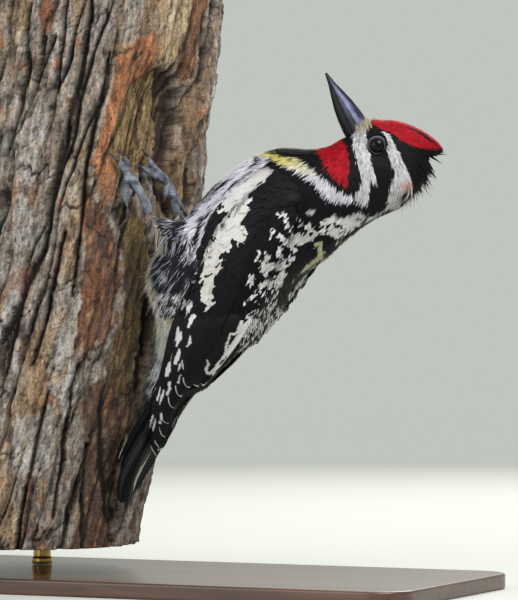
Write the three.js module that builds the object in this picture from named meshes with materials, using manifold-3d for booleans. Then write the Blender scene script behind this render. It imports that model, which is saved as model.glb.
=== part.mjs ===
// A life-size male sapsucker, a small woodpecker, clinging to a cut length of tree trunk on a plain
// display stand. Millimetres, +Z up. The origin is the centre of the stand's underside, at floor level.
// The bird's plane of symmetry is parallel to XZ: its back is towards +X, its left side towards -Y.
import * as THREE from "three";
import { mergeVertices } from "three/addons/utils/BufferGeometryUtils.js";
import Module from "manifold-3d";

const wasm = await Module();
wasm.setup();

// ---------------------------------------------------------------- driving dimensions
const GAP = 0.3; // clearance between neighbouring pieces
const STAND = { length: 236, width: 116, thick: 6, corner: 14, edge: 0.8 };
const ROD = { radius: 4, apart: 44 };
const PERCH = { radius: 49.5, bottom: 16, top: 228 };
const BIRD = new THREE.Vector3(44, -17.5, 0); // where the bird's own frame lies in the part's frame
const HEAD_TURN = THREE.MathUtils.degToRad(25); // the head looks round to the bird's left
const EYE = { x: 47, y: 7.1, z: 167.5, radius: 3.5 };
const BILL = { base: [39, 175.1], tip: [27.9, 195.3], length: 23 }; // base and tip as [ahead, height]
const NECK_TURN = { from: 122, to: 148, pivotX: 35 }; // the stretch of the neck that takes up the turn
const TARSUS_RADIUS = 1.45;
const TOE_RADIUS = 1.3;
const CLAW_RADIUS = 0.85;

const COLOURS = {
  horn: new THREE.MeshStandardMaterial({ color: 0x2c2e36, roughness: 0.35 }),
  eye: new THREE.MeshStandardMaterial({ color: 0x120c08, roughness: 0.05 }),
  red: new THREE.MeshStandardMaterial({ color: 0xc8141c, roughness: 0.8 }),
  black: new THREE.MeshStandardMaterial({ color: 0x14161a, roughness: 0.7 }),
  pale: new THREE.MeshStandardMaterial({ color: 0xe6e2d2, roughness: 0.85 }),
  scale: new THREE.MeshStandardMaterial({ color: 0x7c8488, roughness: 0.6 }),
  bark: new THREE.MeshStandardMaterial({ color: 0x8a6f57, roughness: 0.95 }),
  stand: new THREE.MeshStandardMaterial({ color: 0x3a2a20, roughness: 0.4 }),
  metal: new THREE.MeshStandardMaterial({ color: 0xb08d57, roughness: 0.3, metalness: 1 }),
};

// ---------------------------------------------------------------- shaping helpers
const vec = (x, y, z) => new THREE.Vector3(x, y, z);
const { smoothstep, lerp, clamp } = THREE.MathUtils;

/** A closed geometry as a solid for joining and cutting. */
function solid(geometry) {
  const bare = new THREE.BufferGeometry();
  bare.setAttribute("position", geometry.getAttribute("position"));
  bare.setIndex(geometry.index);
  const merged = mergeVertices(bare, 1e-4);
  const triVerts = new Uint32Array(merged.index.array);
  const vertProperties = merged.attributes.position.array;
  const made = new wasm.Manifold(new wasm.Mesh({ numProp: 3, vertProperties, triVerts }));
  if (made.volume() > 0) return made;
  triVerts.reverse();
  return new wasm.Manifold(new wasm.Mesh({ numProp: 3, vertProperties, triVerts }));
}

/** The largest body of a solid, as a named mesh. */
function piece(name, shape, material) {
  const [largest] = shape.decompose().sort((a, b) => b.volume() - a.volume());
  const made = largest.getMesh();
  const geometry = new THREE.BufferGeometry();
  geometry.setAttribute("position", new THREE.BufferAttribute(made.vertProperties, 3));
  geometry.setIndex(new THREE.BufferAttribute(made.triVerts, 1));
  const mesh = new THREE.Mesh(geometry, material);
  mesh.name = name;
  return mesh;
}

/** A unit ball whose rings are laid along a path: place(t, cos, sin) gives each point. */
function ringed(sides, rings, place) {
  const ball = new THREE.SphereGeometry(1, sides, rings);
  const at = ball.getAttribute("position");
  for (let i = 0; i < at.count; i++) {
    const point = vec(at.getX(i), at.getY(i), at.getZ(i));
    const t = Math.acos(clamp(point.y, -1, 1)) / Math.PI;
    const round = Math.hypot(point.x, point.z);
    const pole = round < 1e-6;
    const made = place(t, pole ? 0 : point.x / round, pole ? 0 : point.z / round);
    at.setXYZ(i, made.x, made.y, made.z);
  }
  return solid(ball);
}

const profileLine = (points) => new THREE.CatmullRomCurve3(points.map(([x, z]) => vec(x, 0, z)));
const numberLine = (values) => {
  const curve = new THREE.CatmullRomCurve3(values.map((v, i) => vec(i * 10, v, 0)));
  return (t) => curve.getPoint(t).y;
};

/** A body drawn between its back line and its belly line, with half widths at the same stations. */
function barrel({ back, belly, wide, side = 0, sides = 24, rings = 20, grow = 0 }) {
  const [top, bottom] = [profileLine(back), profileLine(belly)];
  const halfWidth = numberLine(wide);
  const middle = Array.isArray(side) ? numberLine(side) : () => side;
  return ringed(sides, rings, (t, cos, sin) => {
    const [d, v] = [top.getPoint(t), bottom.getPoint(t)];
    const reach = d.clone().sub(v).multiplyScalar(0.5);
    const centre = d.add(v).multiplyScalar(0.5);
    reach.setLength(reach.length() + grow);
    const y = middle(t) + sin * (halfWidth(t) + grow);
    return turned(centre.addScaledVector(reach, cos).setY(y));
  });
}

/** A round limb along a line of points, with a radius at each. */
function limb({ points, radii, sides = 8, rings = 12, grow = 0 }) {
  const line = new THREE.CatmullRomCurve3(points);
  const radius = numberLine(radii);
  return ringed(sides, rings, (t, cos, sin) => {
    const ahead = line.getTangent(t);
    const out = new THREE.Vector3().crossVectors(ahead, vec(0.2, 1, 0.1)).normalize();
    const across = new THREE.Vector3().crossVectors(ahead, out);
    const r = radius(t) + grow;
    const end = Math.abs(t - 0.5) === 0.5 ? Math.sign(t - 0.5) * r : 0;
    const point = line.getPoint(t).addScaledVector(ahead, end * 0.6);
    return point.addScaledVector(out, r * cos).addScaledVector(across, r * sin);
  });
}

/** How far up the neck a point is: the neck rises along this slanting direction. */
const NECK_RISE = vec(0.656, 0, 0.755);
const upNeck = (p) => p.x * NECK_RISE.x + p.z * NECK_RISE.z;
const turnAt = (rise) => HEAD_TURN * smoothstep(rise, NECK_TURN.from, NECK_TURN.to);

/** Turns the head and neck about an upright axis, more and more from the breast to the chin. */
function turned(p) {
  const angle = turnAt(upNeck(p));
  const [dx, dy] = [p.x - NECK_TURN.pivotX, p.y];
  const [c, s] = [Math.cos(angle), Math.sin(angle)];
  return vec(NECK_TURN.pivotX + dx * c - dy * s, dx * s + dy * c, p.z);
}

/** The half of space past a plane, as a large slab, given a point on it and its direction. */
function beyond(point, direction) {
  const size = 400;
  const slab = new THREE.BoxGeometry(size, size, size);
  slab.translate(0, 0, size / 2);
  const turn = new THREE.Quaternion().setFromUnitVectors(vec(0, 0, 1), direction.clone().normalize());
  slab.applyQuaternion(turn).translate(point.x, point.y, point.z);
  return solid(slab);
}
const mirrored = (shape, side) => (side < 0 ? shape : shape.mirror([0, 1, 0]));

// ---------------------------------------------------------------- body, neck and head
const BODY_SHAPE = {
  back: [[-34, 67], [-23, 76.5], [-11.5, 85], [-2, 96], [8, 109], [21, 122], [34, 131],
    [42, 137], [49, 141], [57, 145.5], [62, 152], [63, 158]],
  belly: [[-52, 69.5], [-44, 87], [-41, 104], [-46.5, 121], [-33, 138], [-18, 154], [-4, 164],
    [11, 168], [21.5, 167], [29, 168], [34, 171], [40, 172]],
  wide: [4, 9, 15.5, 18.5, 19.5, 20, 19, 17, 14.5, 13, 12, 8],
};
const HEAD_SHAPE = {
  back: [[42.5, 178.2], [48.5, 177.9], [54, 176.4], [60, 173.5], [65, 168], [66.5, 161], [64, 154.5],
    [59, 149]],
  belly: [[36.3, 172.8], [36, 170], [36.5, 165], [38.5, 159], [42, 153], [46, 149], [49, 147],
    [52, 146]],
  wide: [4.6, 7.2, 9.6, 10.8, 11.4, 11.2, 10, 6],
};
const CREST_SHAPE = {
  back: [[45, 177.4], [50, 178], [56, 177.2], [62, 174.9], [67, 171.9], [70.8, 168.6], [72.2, 166.6]],
  belly: [[46, 175], [50, 171.5], [56, 167.5], [61, 164.5], [65.5, 163.3], [69.2, 163.9], [71.6, 165.2]],
  wide: [2.4, 5.2, 7, 7.2, 6, 3.6, 1.2],
};

const bodyForm = (grow = 0) => barrel({ ...BODY_SHAPE, sides: 22, rings: 22, grow });
const headForm = (grow = 0) => barrel({ ...HEAD_SHAPE, sides: 18, rings: 13, grow });
const whole = bodyForm().add(headForm());
const wholeGrown = bodyForm(GAP).add(headForm(GAP));

const billBase = turned(vec(BILL.base[0], 0, BILL.base[1]));
const billTip = turned(vec(BILL.tip[0], 0, BILL.tip[1]));
const billAxis = billTip.clone().sub(billBase).normalize();
const billSide = vec(-Math.sin(HEAD_TURN), Math.cos(HEAD_TURN), 0);
const billUp = new THREE.Vector3().crossVectors(billSide, billAxis).negate();
if (billUp.x < 0) billUp.negate();

/** A cut across the neck, through the points that lie this far up it. */
function neckCut(rise) {
  const level = NECK_RISE.clone().multiplyScalar(rise);
  const direction = NECK_RISE.clone().applyAxisAngle(vec(0, 0, 1), turnAt(rise));
  return { point: turned(level), direction };
}
function pastCut(cut, offset) {
  return beyond(cut.point.clone().addScaledVector(cut.direction, offset), cut.direction);
}
const headCut = neckCut(150.5);
const breastCut = neckCut(125);
const pastBill = beyond(billBase.clone().addScaledVector(billAxis, 0.2), billAxis);

const eyeAt = (side) => turned(vec(EYE.x, side * EYE.y, EYE.z));
const eyeForm = (side, grow = 0) =>
  solid(new THREE.SphereGeometry(EYE.radius + grow, 12, 8).translate(...eyeAt(side).toArray()));
const sockets = eyeForm(-1, GAP).add(eyeForm(1, GAP));

const head = whole.intersect(pastCut(headCut, GAP / 2)).subtract(pastBill).subtract(sockets);
const neck = whole.intersect(pastCut(breastCut, GAP / 2)).subtract(pastCut(headCut, -GAP / 2));
const crest = barrel({ ...CREST_SHAPE, sides: 14, rings: 10 }).subtract(wholeGrown);

// ---------------------------------------------------------------- bill
const billDepth = numberLine([4.9, 4.6, 3.8, 2.6, 1.35, 0.5]);
const billWidth = numberLine([4.4, 3.9, 3.1, 2.2, 1.3, 0.6]);
const billForm = ringed(12, 10, (t, cos, sin) => {
  const along = billBase.clone().addScaledVector(billAxis, lerp(-2, BILL.length, t));
  const flatRidge = 1 - 0.18 * Math.abs(sin * cos) * 2;
  return along
    .addScaledVector(billUp, cos * billDepth(t) * flatRidge)
    .addScaledVector(billSide, sin * billWidth(t) * flatRidge);
}).intersect(beyond(billBase.clone().addScaledVector(billAxis, 0.2 + GAP), billAxis));
const gapeTilt = billUp.clone().addScaledVector(billAxis, -0.02).normalize();
const gapePoint = billBase.clone().addScaledVector(billUp, -0.5);
const aboveGape = (offset) => beyond(gapePoint.clone().addScaledVector(gapeTilt, offset), gapeTilt);
const upperBill = billForm.intersect(aboveGape(GAP / 2));
const lowerBill = billForm.subtract(aboveGape(-GAP / 2));

// ---------------------------------------------------------------- wings and tail
// The left wing as folded: its leading edge along the flank, its trailing edge along the back, from
// the bend of the wing to the tip, and how far it bows outwards between them to hug the body.
const WING = {
  leading: [[14.6, -17, 160], [4.3, -21, 149.9], [-6.8, -22.5, 137.9], [-14.2, -22.8, 122.5],
    [-21.2, -22, 110.5], [-26.3, -20, 99.2], [-31.9, -15.5, 86.1], [-38.3, -11, 72.6],
    [-41.9, -7.6, 61.8], [-43.4, -4.4, 51.4]],
  trailing: [[19.5, -17.8, 159.2], [27.6, -20, 148.2], [25.2, -18.6, 134.4], [16.6, -15.4, 122.2],
    [7.4, -12.6, 110], [-0.8, -9, 97.6], [-14.8, -6.4, 82.8], [-25.3, -3.6, 73.8], [-35, -2.8, 62.5],
    [-42.6, -3, 50.8]],
  bow: [0.1, 1.2, 2.8, 4.2, 4.8, 5.2, 4.8, 2.8, 1.8, 0],
  thick: [1, 2.4, 3, 3, 3, 2.8, 2.4, 1.8, 1.2, 0.6],
};
function wingForm(grow = 0) {
  const leading = new THREE.CatmullRomCurve3(WING.leading.map((p) => vec(...p)));
  const trailing = new THREE.CatmullRomCurve3(WING.trailing.map((p) => vec(...p)));
  const [bow, thick] = [numberLine(WING.bow), numberLine(WING.thick)];
  return ringed(14, 17, (t, cos, sin) => {
    const [front, rear] = [leading.getPoint(t), trailing.getPoint(t)];
    const spread = rear.clone().sub(front);
    const point = front.lerp(rear, (1 + cos) / 2).addScaledVector(spread.setLength(grow), cos);
    point.y -= bow(t) * (1 - cos * cos) + sin * (thick(t) + grow);
    return point;
  });
}

const TAIL_SHAPE = {
  back: [[-30, 80], [-34.5, 71], [-41.5, 60.5], [-47.5, 51], [-52.2, 42], [-56.4, 31]],
  belly: [[-34, 77], [-38.5, 68], [-45.5, 57.5], [-51.2, 48.5], [-55.2, 40.5], [-58.2, 30.4]],
  wide: [8, 11, 13, 13.2, 11, 4.5],
  side: -0.8,
};
const tailForm = (grow = 0) => barrel({ ...TAIL_SHAPE, sides: 18, rings: 12, grow });
const tail = tailForm().subtract(bodyForm(GAP));
const wing = (side) =>
  mirrored(wingForm().subtract(wholeGrown).subtract(tailForm(GAP)), side);

// ---------------------------------------------------------------- the cut length of trunk
const PERCH_GRID = { sides: 36, rings: 18 };
const upPerch = (z) => (z - PERCH.bottom) / (PERCH.top - PERCH.bottom);
const axisX = (z) => lerp(-110, -79, upPerch(z)) + 3.5 * Math.sin(Math.PI * upPerch(z));
const axisY = (z) => lerp(11, 24, upPerch(z));

/** The bark's radius at an angle about the axis: low ridges, and a bare hollow that faces the bird. */
function barkRadius(angle, z) {
  const calm = smoothstep(Math.abs(angle + 0.3), 0.7, 1.2);
  const ridges = calm * (0.8 * Math.sin(7 * angle + z * 0.03) + 0.6 * Math.sin(13 * angle - z * 0.02));
  const high = smoothstep(z, 152, 166);
  const nearLip = smoothstep(angle, lerp(-0.75, -0.88, high), lerp(-0.2, -0.58, high));
  const farLip = 1 - smoothstep(angle, -0.12, 0.14);
  const depth = 5.2 * smoothstep(z, 128, 164) + 4.8 * smoothstep(z, 82, 118);
  const head = 1 - 0.75 * smoothstep(z, 192, 205);
  return PERCH.radius + ridges - depth * nearLip * farLip * head;
}

/** The sides are set closer together round the hollow, where the bark turns most. */
function perchForm() {
  const { sides, rings } = PERCH_GRID;
  return ringed(sides, rings, (t, cos, sin) => {
    const z = lerp(PERCH.bottom, PERCH.top, clamp((t * rings - 1) / (rings - 2), 0, 1));
    const even = Math.atan2(sin, cos);
    const angle = even - 0.5 * Math.sin(even + 0.4);
    const radius = cos === 0 && sin === 0 ? 0 : barkRadius(angle, z);
    return vec(axisX(z) + radius * Math.cos(angle), axisY(z) + radius * Math.sin(angle), z);
  });
}

// ---------------------------------------------------------------- legs and feet
/** Where the bark is at this sideways place and height, plus a distance out from it. */
function onBark(y, z, out) {
  let angle = Math.asin((y - axisY(z)) / PERCH.radius);
  for (let i = 0; i < 6; i++) {
    const radius = barkRadius(angle, z) + out;
    angle = Math.asin(clamp((y - axisY(z)) / radius, -1, 1));
  }
  const radius = barkRadius(angle, z) + out;
  return vec(axisX(z) + radius * Math.cos(angle), y, z);
}

// Each foot: its heel and ball, then each toe's joints as [sideways, height, distance from the bark],
// the last three of which are the claw's root, bend and tip.
const FEET = {
  left: {
    side: -1,
    heel: vec(-39.5, -12, 142.4),
    ball: onBark(-13.8, 158.9, 2.2),
    toes: {
      3: [[-14.4, 160, 2], [-15.2, 161.3, 1.8], [-15.9, 162.4, 1.6], [-17.2, 164.1, 1], [-17.6, 165.9, -0.5]],
      2: [[-12.7, 160.8, 1.9], [-12, 162.8, 1.7], [-12, 164.6, 1.5], [-12.6, 166.4, 1], [-13.4, 167.4, -0.5]],
      4: [[-14, 156.8, 1.6], [-14.5, 152.9, 1.5], [-13.2, 145.4, 1.4], [-12.6, 141.6, 1.3], [-13.2, 138.4, -0.5]],
      1: [[-12.8, 156.6, 1.6], [-11.6, 154, 1.4], [-10.8, 152.2, 1.3], [-10.4, 150.4, 1], [-10.2, 149.4, -0.5]],
    },
  },
  right: {
    side: 1,
    heel: vec(-40.5, 12, 141.7),
    ball: onBark(13.6, 155.6, 2.2),
    toes: {
      3: [[9.9, 158.1, 1.8], [5.9, 161.1, 1.7], [3, 164.9, 1.5], [2.2, 166.9, 1], [2, 168.2, -0.5]],
      2: [[9.3, 156.6, 1.8], [3.9, 159.2, 1.7], [0, 161.2, 1.6], [-1.8, 161.4, 1.2], [-3, 160, -0.5]],
      4: [[16.1, 152.5, 1.6], [17.4, 148, 1.5], [18.9, 145, 1.4], [20.2, 143.1, 1], [22.4, 141.6, -0.5]],
      1: [[12.5, 153.2, 1.5], [11.8, 151, 1.4], [11.6, 149.9, 1.3], [11.6, 148.6, 1], [11.8, 147.6, -0.5]],
    },
  },
};

const thighForm = (foot, grow = 0) => limb({
  points: [vec(-15, foot.side * 13, 132.5), vec(-27, foot.side * 13, 135.4),
    vec(-35, foot.side * 12.4, 139), foot.heel],
  radii: [8, 6, 3.6, 2.2], sides: 12, rings: 8, grow,
});
const tarsusForm = (foot, grow = 0) => limb({
  points: [foot.heel, foot.heel.clone().lerp(foot.ball, 0.5).add(vec(0.8, 0, 0)), foot.ball],
  radii: [TARSUS_RADIUS * 1.35, TARSUS_RADIUS, TARSUS_RADIUS * 1.3], sides: 8, rings: 6, grow,
});
function toeForm(foot, joints, grow = 0) {
  const points = joints.slice(0, 3).map(([y, z, out]) => onBark(y, z, out));
  const radii = [TOE_RADIUS * 1.15, TOE_RADIUS, TOE_RADIUS, TOE_RADIUS * 0.75];
  return limb({ points: [foot.ball, ...points], radii, sides: 7, rings: 7, grow });
}
function clawForm(joints, grow = 0) {
  const points = joints.slice(2).map(([y, z, out]) => onBark(y, z, out));
  const radii = [CLAW_RADIUS, CLAW_RADIUS * 0.75, 0.3];
  return limb({ points, radii, sides: 6, rings: 5, grow });
}

const bird = new THREE.Group();
bird.position.copy(BIRD);

const body = whole.subtract(pastCut(breastCut, -GAP / 2));
bird.add(piece("head", head, COLOURS.pale));
bird.add(piece("crest", crest, COLOURS.red));
bird.add(piece("neck", neck, COLOURS.black));
bird.add(piece("body", body, COLOURS.pale));
bird.add(piece("tail", tail, COLOURS.black));
bird.add(piece("bill_upper", upperBill, COLOURS.horn));
bird.add(piece("bill_lower", lowerBill, COLOURS.horn));

let perch = perchForm();
for (const [name, foot] of Object.entries(FEET)) {
  bird.add(piece(`eye_${name}`, eyeForm(foot.side), COLOURS.eye));
  bird.add(piece(`wing_${name}`, wing(foot.side), COLOURS.black));
  const thigh = thighForm(foot).subtract(wholeGrown).subtract(mirrored(wingForm(GAP), foot.side));
  bird.add(piece(`thigh_${name}`, thigh, COLOURS.pale));
  const tarsus = tarsusForm(foot).subtract(thighForm(foot, GAP));
  bird.add(piece(`tarsus_${name}`, tarsus, COLOURS.scale));
  perch = perch.subtract(tarsusForm(foot, GAP)).subtract(thighForm(foot, GAP));
  let taken = tarsusForm(foot, GAP).add(thighForm(foot, GAP));
  for (const [number, joints] of Object.entries(foot.toes)) {
    bird.add(piece(`toe_${name}_${number}`, toeForm(foot, joints).subtract(taken), COLOURS.scale));
    taken = taken.add(toeForm(foot, joints, GAP));
    const claw = clawForm(joints).subtract(taken);
    bird.add(piece(`claw_${name}_${number}`, claw, COLOURS.horn));
    taken = taken.add(clawForm(joints, GAP));
  }
  perch = perch.subtract(taken);
}
perch = perch.subtract(wholeGrown).subtract(tailForm(GAP));
bird.add(piece("perch", perch, COLOURS.bark));

// ---------------------------------------------------------------- display stand
function standBase() {
  const { length, width, thick, corner, edge } = STAND;
  const [x, y, r] = [length / 2 - edge, width / 2 - edge, corner];
  const outline = new THREE.Shape();
  outline.absarc(x - r, y - r, r, 0, Math.PI / 2);
  outline.absarc(r - x, y - r, r, Math.PI / 2, Math.PI);
  outline.absarc(r - x, r - y, r, Math.PI, 1.5 * Math.PI);
  outline.absarc(x - r, r - y, r, 1.5 * Math.PI, 2 * Math.PI);
  const bevel = { bevelThickness: edge, bevelSize: edge, bevelSegments: 1 };
  const plate = new THREE.ExtrudeGeometry(outline, { depth: thick - 2 * edge, curveSegments: 4, ...bevel });
  return solid(plate.translate(0, 0, edge));
}
const stand = new THREE.Group();
stand.add(piece("stand_base", standBase(), COLOURS.stand));
for (const [name, sign] of [["left", -1], ["right", 1]]) {
  const height = PERCH.bottom - STAND.thick - 2 * GAP;
  const rod = new THREE.CylinderGeometry(ROD.radius, ROD.radius, height, 20).rotateX(Math.PI / 2);
  const foot = vec(axisX(PERCH.bottom) + BIRD.x, axisY(PERCH.bottom) + BIRD.y, 0);
  rod.translate(foot.x, foot.y + (sign * ROD.apart) / 2, STAND.thick + GAP + height / 2);
  stand.add(piece(`stand_rod_${name}`, solid(rod), COLOURS.metal));
}

const model = new THREE.Group();
model.add(bird, stand);
export default model;
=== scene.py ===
# %% [markdown]
# # A sapsucker on a cut trunk
#
# This notebook builds the looks of a small woodpecker, a male sapsucker, that clings to a short
# length of trunk on a display stand. The CAD model is the frame: it gives every size and place.
# One feather coat, the long feathers, the bill, the eyes, the feet and the bark are made here.
# All of the making is done in millimetres, and turned into metres when a mesh is stored.

import math

import bmesh
import bpy
import numpy as np
from mathutils import Matrix, Vector
from mathutils.bvhtree import BVHTree


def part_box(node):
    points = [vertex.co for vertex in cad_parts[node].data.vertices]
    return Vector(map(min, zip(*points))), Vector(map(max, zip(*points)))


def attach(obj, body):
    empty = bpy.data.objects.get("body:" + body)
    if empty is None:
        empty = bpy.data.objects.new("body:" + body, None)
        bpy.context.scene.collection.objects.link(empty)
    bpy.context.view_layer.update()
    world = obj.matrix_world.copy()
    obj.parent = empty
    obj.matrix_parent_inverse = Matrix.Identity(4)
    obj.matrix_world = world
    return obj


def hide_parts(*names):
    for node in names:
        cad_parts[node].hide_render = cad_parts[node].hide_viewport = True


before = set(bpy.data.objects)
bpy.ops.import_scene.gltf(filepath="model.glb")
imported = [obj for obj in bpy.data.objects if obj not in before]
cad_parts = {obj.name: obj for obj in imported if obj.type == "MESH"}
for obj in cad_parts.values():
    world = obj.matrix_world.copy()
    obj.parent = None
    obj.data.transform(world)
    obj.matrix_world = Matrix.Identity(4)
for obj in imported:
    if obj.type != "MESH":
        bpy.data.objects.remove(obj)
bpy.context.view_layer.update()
MM = 0.001

# %% [markdown]
# ## The bird's own axes
#
# The bird is modelled looking along its own side plane, and then its head is turned towards its
# left shoulder. Markings are easier to describe on the bird before that turn, so the first thing
# is to find the turn. The two eyes tell it: before the turn the line between them lies along Y.

# %% Find the bird's origin and the turn of its head
EYE_HEIGHT = 167.5  # above the floor
TURN_AXIS_X = 35.0  # the neck turns about an upright line here, measured from the bird's origin
EYE_AHEAD = 12.0  # from that line to the line between the eyes
NECK_RISE = np.array([0.656, 0.0, 0.755])  # the way the neck leaves the shoulders
TWIST_FROM, TWIST_TO = 122.0, 148.0  # the stretch of the neck that takes up the turn


def node_centre(name):
    low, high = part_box(name)
    return np.array((low + high) / 2) / MM


eye_left, eye_right = node_centre("eye_left"), node_centre("eye_right")
across = eye_right - eye_left
HEAD_TURN = math.atan2(-across[0], across[1])
middle = (eye_left + eye_right) / 2
eye_x, eye_y = EYE_AHEAD * math.cos(HEAD_TURN), EYE_AHEAD * math.sin(HEAD_TURN)
BIRD = middle - np.array([TURN_AXIS_X + eye_x, eye_y, EYE_HEIGHT])
print("bird's origin", BIRD.round(2), "head turned by", round(math.degrees(HEAD_TURN), 1), "degrees")


def smooth_step(value, low, high):
    share = np.clip((value - low) / (high - low), 0, 1)
    return share * share * (3 - 2 * share)


def twist_at(points):
    """How far the neck is turned at points of the unturned bird, in radians."""
    return HEAD_TURN * smooth_step(points @ NECK_RISE, TWIST_FROM, TWIST_TO)


def turn_about_neck(points, angle):
    """Turns points about the neck's upright line, each by its own angle."""
    x, y = points[:, 0] - TURN_AXIS_X, points[:, 1]
    cos, sin = np.cos(angle), np.sin(angle)
    return np.stack([TURN_AXIS_X + x * cos - y * sin, x * sin + y * cos, points[:, 2]], 1)


def unturned(points):
    """The place on the unturned bird of points that are on the turned one."""
    guess = points.copy()
    for _ in range(14):
        guess = turn_about_neck(points, -twist_at(guess))
    return guess


# %% [markdown]
# ## Camera, floor and light
#
# The camera looks at the bird a little from the tail side, level with the middle of its body,
# through a long lens so that the shapes aren't stretched. The floor is one pale disc. Soft area
# lights stand for a bright overcast sky: one large light above and in front, a weaker one from
# the left, and one behind that draws a thin line of light along the back.

# %% Camera
VIEW_TURN = math.radians(25)
CAMERA_DISTANCE = 1.4
VIEW_HEIGHT = 0.225  # how much of the scene the picture's long side takes in
SENSOR = 36.0
aim = Vector(BIRD * MM) + Vector((0, 0, VIEW_HEIGHT / 2 - 0.002))

camera_data = bpy.data.cameras.new("camera")
camera_data.sensor_width = SENSOR
camera_data.lens = SENSOR * CAMERA_DISTANCE / VIEW_HEIGHT
camera = bpy.data.objects.new("camera", camera_data)
bpy.context.scene.collection.objects.link(camera)
camera.location = aim + CAMERA_DISTANCE * Vector((math.sin(VIEW_TURN), -math.cos(VIEW_TURN), 0))
camera.rotation_euler = (aim - camera.location).to_track_quat("-Z", "Y").to_euler()
bpy.context.scene.camera = camera
print("camera lens", round(camera_data.lens), "mm")


# %% Helpers for materials and pieces
def set_inputs(node, **settings):
    """Gives each named input a constant, or links it to a node's output. "_" stands for a space."""
    for key, value in settings.items():
        socket = node.inputs[key.replace("_", " ")]
        if isinstance(value, bpy.types.NodeSocket):
            node.id_data.links.new(value, socket)
        else:
            socket.default_value = value


def set_shader(material, **settings):
    set_inputs(material.node_tree.nodes["Principled BSDF"], **settings)


def paint(name, roughness, **settings):
    """A material with a Principled shader."""
    material = bpy.data.materials.new(name)
    material.use_nodes = True
    set_shader(material, Roughness=roughness, **settings)
    return material


def finish_piece(piece, material, replaced=()):
    """Gives a piece its material and says where it belongs in the frame."""
    piece.data.materials.clear()
    piece.data.materials.append(material)
    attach(piece, "root")
    if replaced:
        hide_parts(*replaced)


def mesh_from(shape, name):
    """Turns a bmesh into a mesh, and frees it."""
    mesh = bpy.data.meshes.new(name)
    shape.to_mesh(mesh)
    shape.free()
    return mesh


def new_object(name, mesh):
    piece = bpy.data.objects.new(name, mesh)
    bpy.context.scene.collection.objects.link(piece)
    return piece


# %% Floor and lights
FLOOR_RADIUS = 1.1
shape = bmesh.new()
bmesh.ops.create_circle(shape, cap_ends=True, segments=96, radius=FLOOR_RADIUS)
floor = new_object("floor", mesh_from(shape, "floor"))
floor.data.materials.append(paint("pale_floor", 0.9, Base_Color=(0.56, 0.57, 0.545, 1)))

world = bpy.data.worlds.new("studio")
world.use_nodes = True
set_inputs(world.node_tree.nodes["Background"], Color=(0.86, 0.90, 0.84, 1), Strength=0.62)
bpy.context.scene.world = world


def soft_light(name, azimuth, height, distance, size, power, colour):
    """An area light at an angle round the bird from the camera's side, aimed at the bird."""
    data = bpy.data.lights.new(name, "AREA")
    data.shape = "DISK"
    data.size = size
    data.energy = power
    data.color = colour
    light = bpy.data.objects.new(name, data)
    bpy.context.scene.collection.objects.link(light)
    angle = VIEW_TURN + math.radians(azimuth)
    light.location = aim + Vector((distance * math.sin(angle), -distance * math.cos(angle), height))
    light.rotation_euler = (aim - light.location).to_track_quat("-Z", "Y").to_euler()


soft_light("sky_key", 28, 0.75, 0.75, 0.7, 10.5, (1.0, 0.98, 0.95))
soft_light("sky_fill", -50, 0.25, 0.9, 0.8, 3.6, (0.93, 0.96, 1.0))
soft_light("sky_rim", 160, 0.6, 0.8, 0.6, 7.5, (1.0, 1.0, 0.94))
bpy.context.scene.view_settings.view_transform = "Standard"
print("camera, floor and", len(bpy.data.lights), "lights")

# %% [markdown]
# ## Small tools
#
# These are used all over: smooth noise that is the same on each run, a way to turn arrays of corner
# points and triangles into a mesh, colours written as the eye sees them and turned into the linear
# values that the shader wants, and tests of points against lines and outlines drawn on a plane.


# %% Noise
def hash_noise(cells, seed):
    """A number from 0 to 1 for each whole-numbered cell, always the same for the same cell."""
    mixed = cells[:, 0] * 374761393 + cells[:, 1] * 668265263 + cells[:, 2] * 2147483647 + seed * 974711
    mixed = (mixed ^ (mixed >> 13)) * 1274126177
    mixed = (mixed ^ (mixed >> 16)) & 0xFFFFFF
    return mixed / 0xFFFFFF


def noise(points, scale, seed=0):
    """Smooth value noise from 0 to 1 on points of three coordinates, one blob per scale."""
    place = np.asarray(points, float) / scale
    cell = np.floor(place).astype(np.int64)
    part = place - cell
    part = part * part * (3 - 2 * part)
    total = np.zeros(len(place))
    for dx in (0, 1):
        for dy in (0, 1):
            for dz in (0, 1):
                corner = np.array([dx, dy, dz])
                near_x, near_y, near_z = np.abs(1 - corner - part).T
                total += near_x * near_y * near_z * hash_noise(cell + corner, seed)
    return total


def rough_noise(points, scale, octaves=3, seed=0):
    """Noise with finer and finer detail, from about -1 to 1."""
    total, weight = np.zeros(len(points)), 1.0
    for octave in range(octaves):
        total += weight * (noise(points, scale / 2**octave, seed + octave) * 2 - 1)
        weight *= 0.5
    return total / 1.6


# %% Colours and directions
def linear(colour):
    """A colour of three numbers from 0 to 255, as the eye sees it, in the shader's linear values."""
    share = np.asarray(colour, float) / 255
    return np.where(share <= 0.04045, share / 12.92, ((share + 0.055) / 1.055) ** 2.4)


def blend(first, second, share):
    share = np.asarray(share)[..., None]
    return first * (1 - share) + second * share


def unit(vectors):
    length = np.linalg.norm(vectors, axis=-1, keepdims=True)
    return vectors / np.maximum(length, 1e-9)


# %% Meshes
def store_colours(mesh, colours):
    """Stores one linear colour for each corner point."""
    layer = mesh.color_attributes.new("Tint", "FLOAT_COLOR", "POINT")
    rows = np.concatenate([colours, np.ones((len(colours), 1))], 1)
    layer.data.foreach_set("color", rows.astype(np.float32).ravel())


def store_bake_map(mesh, places):
    """The bake map: a place for each corner of each face, in the mesh's order."""
    layer = mesh.uv_layers.new(name="OFBake")
    layer.uv.foreach_set("vector", places.astype(np.float32).ravel())


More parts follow.
